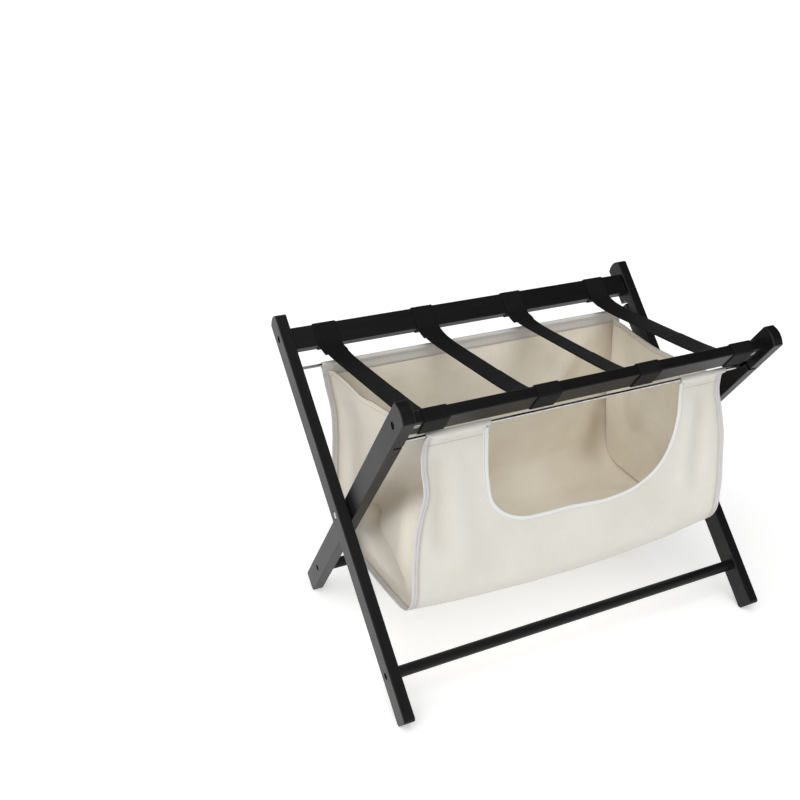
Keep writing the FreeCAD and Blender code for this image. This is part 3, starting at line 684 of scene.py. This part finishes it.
def fold_height(where, folds):
    """Sum of soft ridges and valleys at plane points, each a bell across its own line."""
    where = np.asarray(where, float)
    total = np.zeros(where.shape[:-1])
    for start, end, width, height in folds:
        start, end = np.array(start, float), np.array(end, float)
        line = end - start
        length = np.linalg.norm(line)
        line /= length
        local = where - start
        along = local @ line
        across = local @ np.array((-line[1], line[0]))
        fade = smooth_step((along + width) / (2 * width)) * smooth_step((length + width - along) / (2 * width))
        total += height * fade * np.exp(-((across / width) ** 2))
    return total


def bottom_height(x):
    """Height of the bag's bottom at x: it sags between its stiffer sewn ends."""
    share = np.abs(x - BAG_LOW_X) / FLAT_HALF
    return BAG_LOW + BAG_END_RISE * share**2.4


def strip_rows():
    """Rows of the body strip from the front hem to the back hem: (part, share of that part)."""
    corner = BAG_CORNER * math.pi / 2
    upright = PANEL_TOP - BAG_LOW - BAG_CORNER
    parts = (("front", upright), ("front_corner", corner), ("bottom", 2 * (PANEL_Y - BAG_CORNER)),
             ("back_corner", corner), ("back", upright))
    rows, run = [], 0.0
    for part, length in parts:
        count = int(round(length / CLOTH_CELL))
        for k in range(count):
            rows.append((part, k / count, run + length * k / count))
        run += length
    rows.append(("back", 1.0, run))
    return rows


def strip_section(part, share, x):
    """(y, z) of the unfolded strip at one row, for an array of x."""
    low = bottom_height(x)
    knee = low + BAG_CORNER
    flat = PANEL_Y - BAG_CORNER
    if part in ("front", "back"):
        drop = share if part == "front" else 1 - share
        z = PANEL_TOP + (knee - PANEL_TOP) * drop
        y = PANEL_Y + hem_puff(z)
    elif part == "bottom":
        y = np.full_like(x, flat * (2 * share - 1))
        return y, low - 3.0 * (1 - (y / flat) ** 2)
    else:
        angle = math.pi / 2 * (share if part == "front_corner" else 1 - share)
        y = np.full_like(x, flat + BAG_CORNER * math.cos(angle))
        z = knee - BAG_CORNER * math.sin(angle)
    return (-y if part.startswith("front") else y), z


def strip_columns():
    """Flat positions across the strip, closer together at the seam allowances."""
    edge = (0.0, 1.2, 4.0, 7.2, FLANGE, FLANGE + 1.5, FLANGE + 4.5)
    inner = FLAT_HALF - edge[-1]
    count = int(round(2 * inner / CLOTH_CELL))
    middle = np.linspace(-inner, inner, count + 1)[1:-1]
    left = -FLAT_HALF + np.array(edge)
    return np.r_[left, middle, -left[::-1]]


def strip_surface():
    """Grid of points of the body strip with its folds, its flat coordinates and its painted crease shade."""
    rows = strip_rows()
    columns = strip_columns()
    run = np.array([row[2] for row in rows])
    left, right = curve_through(LEFT_EDGE, run), curve_through(RIGHT_EDGE, run)
    share = (columns + FLAT_HALF) / (2 * FLAT_HALF)
    grid = np.zeros((len(rows), len(columns), 3))
    for k, (part, part_share, _) in enumerate(rows):
        x = left[k] + (right[k] - left[k]) * share
        y, z = strip_section(part, part_share, x)
        grid[k] = np.stack([x, y, z], 1)
    normal = vertex_normals(grid)
    height = np.zeros(grid.shape[:2])
    height += fold_height(grid[:, :, [0, 2]], FRONT_FOLDS) * (grid[:, :, 1] < -60)
    height += fold_height(grid[:, :, [0, 2]], BACK_FOLDS) * (grid[:, :, 1] > 60)
    height += fold_height(grid[:, :, [0, 1]], BOTTOM_FOLDS) * smooth_step((200 - grid[:, :, 2]) / 60)
    flat = grid.reshape(-1, 3)
    waves = (2.6 * ripple(flat, 120, 3) + 0.8 * ripple(flat, 42, 8)).reshape(height.shape)
    height += waves
    near_top = smooth_step((HEM_STITCH + 4 - grid[:, :, 2]) / 40)
    edge_distance = FLAT_HALF - np.abs(columns)
    stiff = 0.35 + 0.65 * smooth_step((edge_distance - FLANGE) / 30)
    height *= near_top * stiff[None, :]
    height -= SEAM_GROOVE * np.exp(-np.abs(edge_distance - FLANGE - 0.5) / 2.5)[None, :]
    pucker = ripple(flat, 14, 15).reshape(height.shape)
    height += 0.7 * pucker * np.exp(-np.abs(edge_distance - FLANGE) / 12)[None, :]
    grid += normal * height[:, :, None]
    flat_uv = np.stack(np.broadcast_arrays(columns[None, :], run[:, None]), 2)
    # Painted shade: a darker tint along the deep folds of the front and back, and in the fold beside each seam
    # tape.
    upright = grid[:, :, [0, 2]]
    painted_shade = np.where(grid[:, :, 1] > 0, fold_height(upright, BACK_PAINTED_SHADE),
                       fold_height(upright, FRONT_PAINTED_SHADE))
    painted_shade += SEAM_SHADE * np.exp(-np.abs(edge_distance - FLANGE) / SEAM_REACH)[None, :]
    return rows, columns, grid, flat_uv, painted_shade


def on_front(rows, columns, grid, x, z):
    """Points and outward normals on the front panel at plane positions x, z."""
    run = np.array([row[2] for row in rows])
    at = np.clip(PANEL_TOP - np.asarray(z, float), 0, None)
    x = np.asarray(x, float)
    left, right = curve_through(LEFT_EDGE, at), curve_through(RIGHT_EDGE, at)
    flat = (x - left) / (right - left) * 2 * FLAT_HALF - FLAT_HALF
    row = np.clip(np.interp(at, run, np.arange(len(run))), 0, len(run) - 1.001)
    column = np.clip(np.interp(flat, columns, np.arange(len(columns))), 0, len(columns) - 1.001)
    normal = vertex_normals(grid)
    result = []
    for field in (grid, normal):
        r, c = row.astype(int), column.astype(int)
        a, b = (row - r)[:, None], (column - c)[:, None]
        result.append((1 - a) * (1 - b) * field[r, c] + (1 - a) * b * field[r, c + 1]
                      + a * (1 - b) * field[r + 1, c] + a * b * field[r + 1, c + 1])
    return result[0], unit_rows(result[1])


def inside_opening(grid, outline):
    """True for the front points that lie within the opening."""
    x, z = grid[:, :, 0], grid[:, :, 2]
    hit = np.zeros(x.shape, bool)
    for (x0, z0), (x1, z1) in zip(outline, np.roll(outline, -1, axis=0)):
        if z0 == z1:
            continue
        crosses = ((z0 > z) != (z1 > z)) & (x < x0 + (z - z0) * (x1 - x0) / (z1 - z0))
        hit ^= crosses
    return hit & (grid[:, :, 1] < -60)


def swept(path, across, up, profile, close_ends=(True, True)):
    """Closed band: the plane profile (across, up) carried along a path with its own directions."""
    count = len(profile)
    points = [p + a * s + b * t for p, s, t in zip(path, across, up) for a, b in profile]
    faces = grid_faces(len(path), count, around=True)
    if close_ends[0]:
        faces.append(tuple(range(count)))
    if close_ends[1]:
        faces.append(tuple(range(len(points) - count, len(points))))
    return points, faces


def facing_out(obj):
    """Turns the faces of a closed mesh outwards."""
    mesh = bmesh.new()
    mesh.from_mesh(obj.data)
    bmesh.ops.recalc_face_normals(mesh, faces=mesh.faces)
    mesh.to_mesh(obj.data)
    mesh.free()
    return obj


def band_uv(path, profile):
    """Flat coordinates of a swept band: round the profile, and along the path."""
    profile = np.asarray(profile, float)
    around = lengths_along(profile)
    along = lengths_along(path)
    return [(a, b) for b in along for a in around]


# Section of the tape folded over the strip's edge: (distance in from the edge, height).
TAPE_SECTION = ((-0.7, 0.0), (-0.45, 0.7), (0.4, 1.2), (1.4, 1.25), (2.4, 1.0), (3.4, 0.85), (4.4, 0.82),
                (5.2, 0.95), (7.0, 1.0), (8.2, 0.85), (9.2, 0.6))
# Section of the white tape round the opening, from its fold at the cut edge.
BINDING_SECTION = ((-0.8, 0.0), (-0.5, 0.8), (0.3, 1.2), (1.4, 1.3), (5.0, 1.15), (6.4, 1.0), (7.2, 0.75),
                   (7.5, 0.5))


def both_faces(section):
    return list(section) + [(a, -b) for a, b in section[:0:-1]]


class Bag:
    """The cloth bag: its body strip, end panels, hems, tapes and stitches."""

    def __init__(self):
        self.rows, self.columns, self.grid, self.uv, self.painted_shade = strip_surface()
        self.normal = vertex_normals(self.grid)
        self.threads = []
        self.pieces = {}

    def rides(self, obj):
        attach(obj, "bag")
        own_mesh(obj)
        self.pieces[obj.name] = obj
        return obj

    def sew(self, path, up):
        self.threads.append((np.asarray(path), np.asarray(up)))

    def row_at(self, z, back=False):
        """Nearest row of the strip at height z on the front or back panel."""
        middle = self.grid[:, len(self.columns) // 2]
        side = middle[:, 1] > 60 if back else middle[:, 1] < -60
        height = np.abs(middle[:, 2] - z) + np.where(side, 0, 1e6)
        return int(np.argmin(height))

    def body(self):
        outline = np.array(OPENING, float)
        edge = path_through(outline, 3.0)
        edge = np.r_[edge, [[176, 470], [-155, 470]]]
        cut = inside_opening(self.grid, edge).ravel()
        rows, columns = self.grid.shape[:2]
        faces = [f for f in grid_faces(rows, columns) if not any(cut[k] for k in f)]
        obj = new_piece("bag_body", self.grid.reshape(-1, 3), faces, self.uv.reshape(-1, 2),
                        self.painted_shade.ravel())
        drop_loose(obj)
        thicken(obj, CANVAS, inner_material=True)
        wear(obj, "canvas", "canvas_inside_painted_light")
        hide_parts("bag_front_panel", "bag_bottom_panel", "bag_back_panel")
        return self.rides(obj)

    def binding(self):
        line = path_through(np.array(OPENING, float), 3.0)
        line = line[line[:, 1] < 426]
        path, up = on_front(self.rows, self.columns, self.grid, line[:, 0], line[:, 1])
        along = np.gradient(path, axis=0)
        across = unit_rows(np.cross(up, along))
        middle = np.array((10.0, 0, 380))
        if ((path - middle) * across).sum() < 0:
            across = -across
        section = both_faces(BINDING_SECTION)
        points, faces = swept(path, across, up, section)
        obj = facing_out(new_piece("bag_opening_tape", points, faces, band_uv(path, section)))
        wear(obj, "binding")
        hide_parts("bag_opening_binding")
        self.sew(path + across * 6.0 + up * 1.1, up)
        self.sew(path + across * 6.0 - up * 1.1, -up)
        return self.rides(obj)

    def edge_frame(self, side):
        """Edge points of the strip, the direction in from the edge, and outward normals."""
        first, inner = (0, 4) if side == "left" else (-1, -5)
        edge = self.grid[:, first]
        into = unit_rows(self.grid[:, inner] - edge)
        return edge, into, self.normal[:, inner]

    def seam_tape(self, side):
        edge, into, up = self.edge_frame(side)
        keep = slice(self.row_at(425), self.row_at(425, back=True) + 1)
        edge, into, up = edge[keep], into[keep], up[keep]
        section = both_faces(TAPE_SECTION)
        points, faces = swept(edge, into, up, section)
        obj = facing_out(new_piece("bag_seam_tape_" + side, points, faces, band_uv(edge, section)))
        wear(obj, "seam_tape")
        for face in (1, -1):
            self.sew(edge + into * 4.0 + up * face * 0.84, up * face)
            self.sew(edge + into * 8.2 + up * face * 0.88, up * face)
        return self.rides(obj)

    def end_panel(self, side, folds, seed):
        """Panel between the front seam, bottom seam, back seam and a slack top edge."""
        edge, into, _ = self.edge_frame(side)
        seam = edge + into * SEAM_LINE
        first, last = self.row_at(SIDE_TOP), self.row_at(SIDE_TOP, back=True)
        names = [row[0] for row in self.rows]
        corner = names.count("front_corner") // 2
        front_corner = names.index("front_corner") + corner
        back_corner = names.index("back_corner") + corner
        outward = -1.0 if side == "left" else 1.0
        front = seam[first:front_corner + 1]
        bottom = seam[front_corner:back_corner + 1]
        back = seam[back_corner:last + 1][::-1]
        even = np.linspace(0, 1, PANEL_COLUMNS)
        share = even - 0.7 * np.sin(2 * math.pi * even) / (2 * math.pi)
        down = np.linspace(0, 1, PANEL_ROWS)
        down = down + 0.7 * np.sin(math.pi * down) / math.pi
        front, back, bottom = placed(front, down), placed(back, down), placed(bottom, share)
        top = front[0] + (back[0] - front[0]) * share[:, None]
        top[:, 2] -= curve_through(SIDE_TOP_SAG[side], share)
        top[:, 0] -= outward * SIDE_BOW * curve_through(SIDE_TOP_BOW, share)
        u, v = share[None, :, None], down[:, None, None]
        panel = ((1 - v) * top[None] + v * bottom[None] + (1 - u) * front[:, None] + u * back[:, None]
                 - (1 - u) * (1 - v) * front[0] - u * (1 - v) * back[0]
                 - (1 - u) * v * front[-1] - u * v * back[-1])
        height = fold_height(panel[:, :, [1, 2]], folds)
        flat = panel.reshape(-1, 3)
        height += (2.4 * ripple(flat, 95, seed) + 0.8 * ripple(flat, 34, seed + 4)).reshape(height.shape)
        to_seam = np.minimum(np.minimum(u, 1 - u)[:, :, 0] * 2 * PANEL_Y, (1 - v)[:, :, 0] * 280)
        height *= smooth_step(to_seam / 34)
        pucker = ripple(flat, 15, seed + 9).reshape(height.shape)
        height += 0.8 * pucker * np.exp(-to_seam / 13) * smooth_step(to_seam / 3)
        height -= SEAM_PINCH * (1 - np.exp(-to_seam / 3.5)) * np.exp(-to_seam / 45)
        panel[:, :, 0] += outward * height
        # Painted shade: a darker tint along the panel's deep folds and in the fold beside its seams.
        painted_shade = fold_height(panel[:, :, [1, 2]], END_PAINTED_SHADE[side]) * smooth_step(to_seam / 40)
        painted_shade += SEAM_SHADE * np.exp(-to_seam / SEAM_REACH)
        uv = panel[:, :, 1:].reshape(-1, 2)
        obj = new_piece("bag_end_panel_" + side, panel.reshape(-1, 3),
                        grid_faces(PANEL_ROWS, PANEL_COLUMNS, flip=side == "left"), uv, painted_shade.ravel())
        thicken(obj, CANVAS, inner_material=True)
        wear(obj, "canvas_end_painted_light", "canvas_inside_painted_light")
        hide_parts("bag_side_" + side)
        self.rolled_edge(side, panel, outward)
        return self.rides(obj)

    def rolled_edge(self, side, panel, outward):
        """Narrow hem along an end panel's top edge, and its stitches."""
        normal = vertex_normals(panel) * outward
        path = panel[0]
        down = unit_rows(panel[3] - panel[0])
        section = both_faces(((-0.7, 0.0), (-0.45, 0.85), (0.4, 1.25), (2.0, 1.15), (8.6, 1.0), (9.4, 0.62)))
        points, faces = swept(path, down, normal[0], section)
        obj = facing_out(new_piece("bag_end_hem_" + side, points, faces, band_uv(path, section)))
        wear(obj, "canvas_end_painted_light")
        for face in (1, -1):
            self.sew(path + down * 7.6 + normal[0] * face * 1.0, normal[0] * face)
        return self.rides(obj)

    def hem(self, name, body, rod_side, low, high, flare, past=0.0):
        """Cloth tube round a rod, with the wall that closes it; the tube runs on past the wall's high end."""
        self.hem_wall(name, rod_side, np.linspace(low, high, int((high - low) / CLOTH_CELL) + 1))
        high += past
        count = int((high - low) / CLOTH_CELL) + 1
        x = np.linspace(low, high, count)
        end = np.exp(-(x - low) / 5) * flare[0] + np.exp(-(high - x) / 5) * flare[1]
        angle = np.linspace(0, 2 * math.pi, 25)[:-1]
        tube = np.zeros((count, len(angle), 3))
        tube[:, :, 0] = x[:, None]
        wobble = ripple(np.stack([x, 0 * x, 0 * x], 1), 26, 5 + rod_side) * 0.16
        radius = SLEEVE_RADIUS + (end + wobble)[:, None] * (0.6 + 0.4 * np.cos(angle * 2)[None])
        tube[:, :, 1] = rod_side * ROD_Y + radius * np.cos(angle)
        tube[:, :, 2] = ROD_Z + radius * np.sin(angle)
        uv = np.stack(np.broadcast_arrays(x[:, None], (SLEEVE_RADIUS * angle)[None]), 2)
        obj = new_piece("bag_tube_" + name, tube.reshape(-1, 3), grid_faces(count, len(angle), around=True),
                        uv.reshape(-1, 2))
        facing_out(obj)
        thicken(obj, CANVAS)
        wear(obj, "hem_canvas")
        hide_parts("bag_" + name)
        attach(obj, body)
        self.pieces[obj.name] = obj

    def hem_wall(self, name, rod_side, x):
        height = np.linspace(HEM_STITCH - 1.5, ROD_Z, 8)
        wall = np.zeros((len(height), len(x), 3))
        wall[:, :, 0] = x
        wall[:, :, 1] = rod_side * (PANEL_Y - np.maximum(hem_puff(height), 1.0))[:, None]
        wall[:, :, 2] = height[:, None]
        uv = wall[:, :, [0, 2]].reshape(-1, 2)
        obj = new_piece("bag_wall_" + name, wall.reshape(-1, 3), grid_faces(len(height), len(x)), uv)
        thicken(obj, 0.9)
        wear(obj, "hem_canvas")
        step = np.array((0, rod_side, 0.0))
        line = wall[1] - step * 0.55
        self.sew(line, np.tile(-step, (len(line), 1)))
        outside = wall[1] * (1, 0, 1) + step * (PANEL_Y + hem_puff(height[1]) + 0.7)
        self.sew(outside, np.tile(step, (len(line), 1)))
        return self.rides(obj)

    def stitches(self):
        points, faces = stitch_mesh([t[0] for t in self.threads], [t[1] for t in self.threads])
        obj = wear(new_piece("bag_stitches", points, faces), "thread")
        return self.rides(obj)


def drop_loose(obj):
    """Takes away vertices that belong to no face."""
    mesh = bmesh.new()
    mesh.from_mesh(obj.data)
    bmesh.ops.delete(mesh, geom=[v for v in mesh.verts if not v.link_faces], context="VERTS")
    mesh.to_mesh(obj.data)
    mesh.free()


def placed(line, shares):
    """Points at the given shares of the polyline's length."""
    run = lengths_along(line)
    return np.stack([np.interp(shares * run[-1], run, line[:, k]) for k in range(3)], 1)


def make_bag():
    bag = Bag()
    body = bag.body()
    bag.binding()
    for side, folds, seed in (("left", LEFT_FOLDS, 21), ("right", RIGHT_FOLDS, 37)):
        bag.seam_tape(side)
        bag.end_panel(side, folds, seed)
    bag.hem("front_hem_left", "inner_frame", -1, -250, -151, (0.7, 0.1))
    bag.hem("front_hem_right", "inner_frame", -1, 176, 253, (0.1, 0.4), past=8.0)
    bag.hem("back_hem", "outer_frame", 1, -275, 288, (0.5, 0.5))
    bag.stitches()


# ============================================================================== straps ====
def strap_line():
    """Mid-line of the front half of a strap, (y, z), from its sewn end round the rail to the middle."""
    cos, sin = math.cos(math.radians(LEG_ANGLE)), math.sin(math.radians(LEG_ANGLE))
    gap = WEBBING / 2 + WEBBING_GAP

    def at(n, s):
        return np.array((n * sin - s * cos, PIVOT_Z + n * cos + s * sin))

    low, high, out = RAIL_LOW - gap, RAIL_HIGH + gap, RAIL_HALF + gap
    under = HINGE_Z - WEBBING
    first = (under - PIVOT_Z - low * sin) / cos
    last = (HINGE_Z - PIVOT_Z - out * cos) / sin
    corners = [(-(HINGE_Y - STRAP_TAB), under), at(first, low), at(-out, low), at(-out, high), at(out, high),
               at(out, last), (0.0, HINGE_Z)]
    line = rounded_path(corners, (6.0, 2.9, 2.9, 2.9, 15.0), step=0.7)
    return densified(line, 5.0)


def densified(line, longest):
    """Adds points so that no step is longer than longest; keeps the ends and bends."""
    result = [line[0]]
    for a, b in zip(line, line[1:]):
        parts = max(1, int(math.ceil(np.linalg.norm(b - a) / longest)))
        result += [a + (b - a) * (k + 1) / parts for k in range(parts)]
    return np.array(result)


def strap_section():
    """Outline of the webbing across its width, with rounded selvedges; (across, up)."""
    half, thick = STRAP_HALF_WIDTH, WEBBING / 2
    top = [(half - thick * (1 - math.sin(a)), thick * math.cos(a)) for a in np.linspace(math.pi / 2, 0, 5)]
    inner = [(share * half, thick) for share in (0.8, 0.4, 0.0, -0.4, -0.8)]
    upper = top + inner + [(-a, b) for a, b in top[::-1]]
    return upper + [(a, -b) for a, b in upper[-2:0:-1]]


def strap_piece(name, centre, sag, roll, drift, sign, seed):
    """One side of a strap: webbing swept along its line, slack and slightly rolled across the span."""
    line = strap_line()
    y, z = line[:, 0], line[:, 1].copy()
    span = (np.abs(y) < HINGE_Y) & (z < HINGE_Z + 0.5)
    slack = np.where(span, 1 - (np.abs(y) / HINGE_Y) ** 6, 0)
    z -= sag * slack
    slope = unit_rows(np.gradient(np.stack([y, z], 1), axis=0))
    slope[-1] = (1, 0)
    run = np.r_[0, np.cumsum(np.hypot(np.diff(y), np.diff(z)))]
    section = strap_section()
    around = lengths_along(section)
    wander = 0.5 * ripple(np.stack([run, 0 * run, 0 * run], 1), 70, seed) * (1 - slack)
    path = np.stack([centre + wander + drift * slack, sign * y, z], 1)
    flat_up = np.stack([0 * y, -sign * slope[:, 1], slope[:, 0]], 1)
    turn = np.radians(roll * slack)[:, None]
    level = np.array((1.0, 0.0, 0.0))
    across = level * np.cos(turn) + flat_up * np.sin(turn)
    up = flat_up * np.cos(turn) - level * np.sin(turn)
    doubled = smooth_step((STRAP_DOUBLE_END - y) / 1.5) * span if sign > 0 else 0 * y
    points = [path[k] + across[k] * a + up[k] * (b + (0.8 * doubled[k] if b > 0 else 0))
              for k in range(len(y)) for a, b in section]
    faces = grid_faces(len(y), len(section), around=True)
    faces.append(tuple(range(len(section))))
    uv = [(a, sign * b) for b in (run - run[-1]) for a in around]
    return facing_out(new_piece(name, points, faces, uv)), run[-1]


def make_straps():
    for number, shape in enumerate(zip(STRAP_CENTRES, STRAP_SAGS, STRAP_ROLLS, STRAP_DRIFTS), 1):
        for side, body, sign in (("front", "inner_frame", 1), ("back", "outer_frame", -1)):
            name = f"strap_{number}_{side}"
            obj, length = strap_piece(name, *shape, sign, number + 9)
            wear(obj, "webbing")
            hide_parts(name + "_loop", name + "_half")
            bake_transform(obj)


# ======================================================================= light, camera ====
def make_camera():
    azimuth, elevation, roll = (math.radians(v) for v in (CAMERA_AZIMUTH, CAMERA_ELEVATION, CAMERA_ROLL))
    back = Vector((math.sin(azimuth) * math.cos(elevation), -math.cos(azimuth) * math.cos(elevation),
                   math.sin(elevation)))
    right = (-back).cross(Vector((0, 0, 1))).normalized()
    up = back.cross(right)
    level, tilt = math.cos(roll), math.sin(roll)
    turned_right, turned_up = right * level + up * tilt, up * level - right * tilt
    place = (Vector(CAMERA_TARGET) + back * CAMERA_DISTANCE) * MM
    camera = link(bpy.data.objects.new("camera", bpy.data.cameras.new("camera")))
    turn = Matrix((turned_right, turned_up, back)).transposed()
    camera.matrix_world = Matrix.Translation(place) @ turn.to_4x4()
    camera.data.sensor_width = 36.0
    camera.data.lens = LENS
    camera.data.shift_x, camera.data.shift_y = SHIFT
    bpy.context.scene.camera = camera


def sun(name, towards, strength, spread):
    """Soft light from the direction given (from the rack to the light)."""
    data = bpy.data.lights.new(name, "SUN")
    data.energy = strength
    data.angle = math.radians(spread)
    obj = link(bpy.data.objects.new(name, data))
    obj.rotation_euler = Vector(towards).to_track_quat("Z", "Y").to_euler()
    return obj


def make_studio():
    size = 60.0
    mesh = bpy.data.meshes.new("floor")
    mesh.from_pydata([(-size, -size, 0), (size, -size, 0), (size, size, 0), (-size, size, 0)], [],
                     [(0, 1, 2, 3)])
    floor = link(bpy.data.objects.new("floor", mesh))
    material, tree, shader = new_material("floor")
    speck = noise_at(tree, object_coordinates(tree), 3.0, 2.0, 0.5)
    tree.links.new(mixed(tree, speck, (0.90, 0.90, 0.90), (0.92, 0.92, 0.92)), shader.inputs["Base Color"])
    shader.inputs["Roughness"].default_value = 0.9
    shader.inputs["Specular IOR Level"].default_value = 0.0
    shader.inputs["Emission Color"].default_value = (1, 1, 1, 1)
    shader.inputs["Emission Strength"].default_value = 0.38
    floor.data.materials.append(material)
    sun("key", (-0.36, -0.72, 0.80), 1.0, 52)
    sun("left", (-1.0, -0.25, 0.10), 0.38, 60)
    sun("top", (-0.20, 0.0, 1.0), 0.70, 70)
    world = bpy.data.worlds.new("studio")
    bpy.context.scene.world = world
    world.use_nodes = True
    tree = world.node_tree
    place = tree.nodes.new("ShaderNodeTexCoord")
    bright = tree.nodes.new("ShaderNodeVectorMath")
    bright.operation = "DOT_PRODUCT"
    bright.inputs[1].default_value = Vector((-0.75, -0.60, 0.10)).normalized()
    tree.links.new(place.outputs["Generated"], bright.inputs[0])
    level = maths(tree, "ADD", maths(tree, "MULTIPLY", bright.outputs["Value"], 0.5), 0.5)
    glow = ramp(tree, level, [(0.0, 0.06), (0.5, 0.10), (0.72, 0.45), (1.0, 1.0)])
    split = tree.nodes.new("ShaderNodeSeparateXYZ")
    tree.links.new(place.outputs["Generated"], split.inputs[0])
    horizon = ramp(tree, split.outputs["Z"], [(0.08, 1.0), (0.34, 0.0)])
    tree.links.new(mixed(tree, horizon, glow, (1.12, 1.12, 1.12)), tree.nodes["Background"].inputs["Color"])
    tree.nodes["Background"].inputs["Strength"].default_value = 0.9
    bpy.context.scene.view_settings.view_transform = "Standard"


dress_cad_nodes()
make_bag()
make_straps()
make_studio()
make_camera()
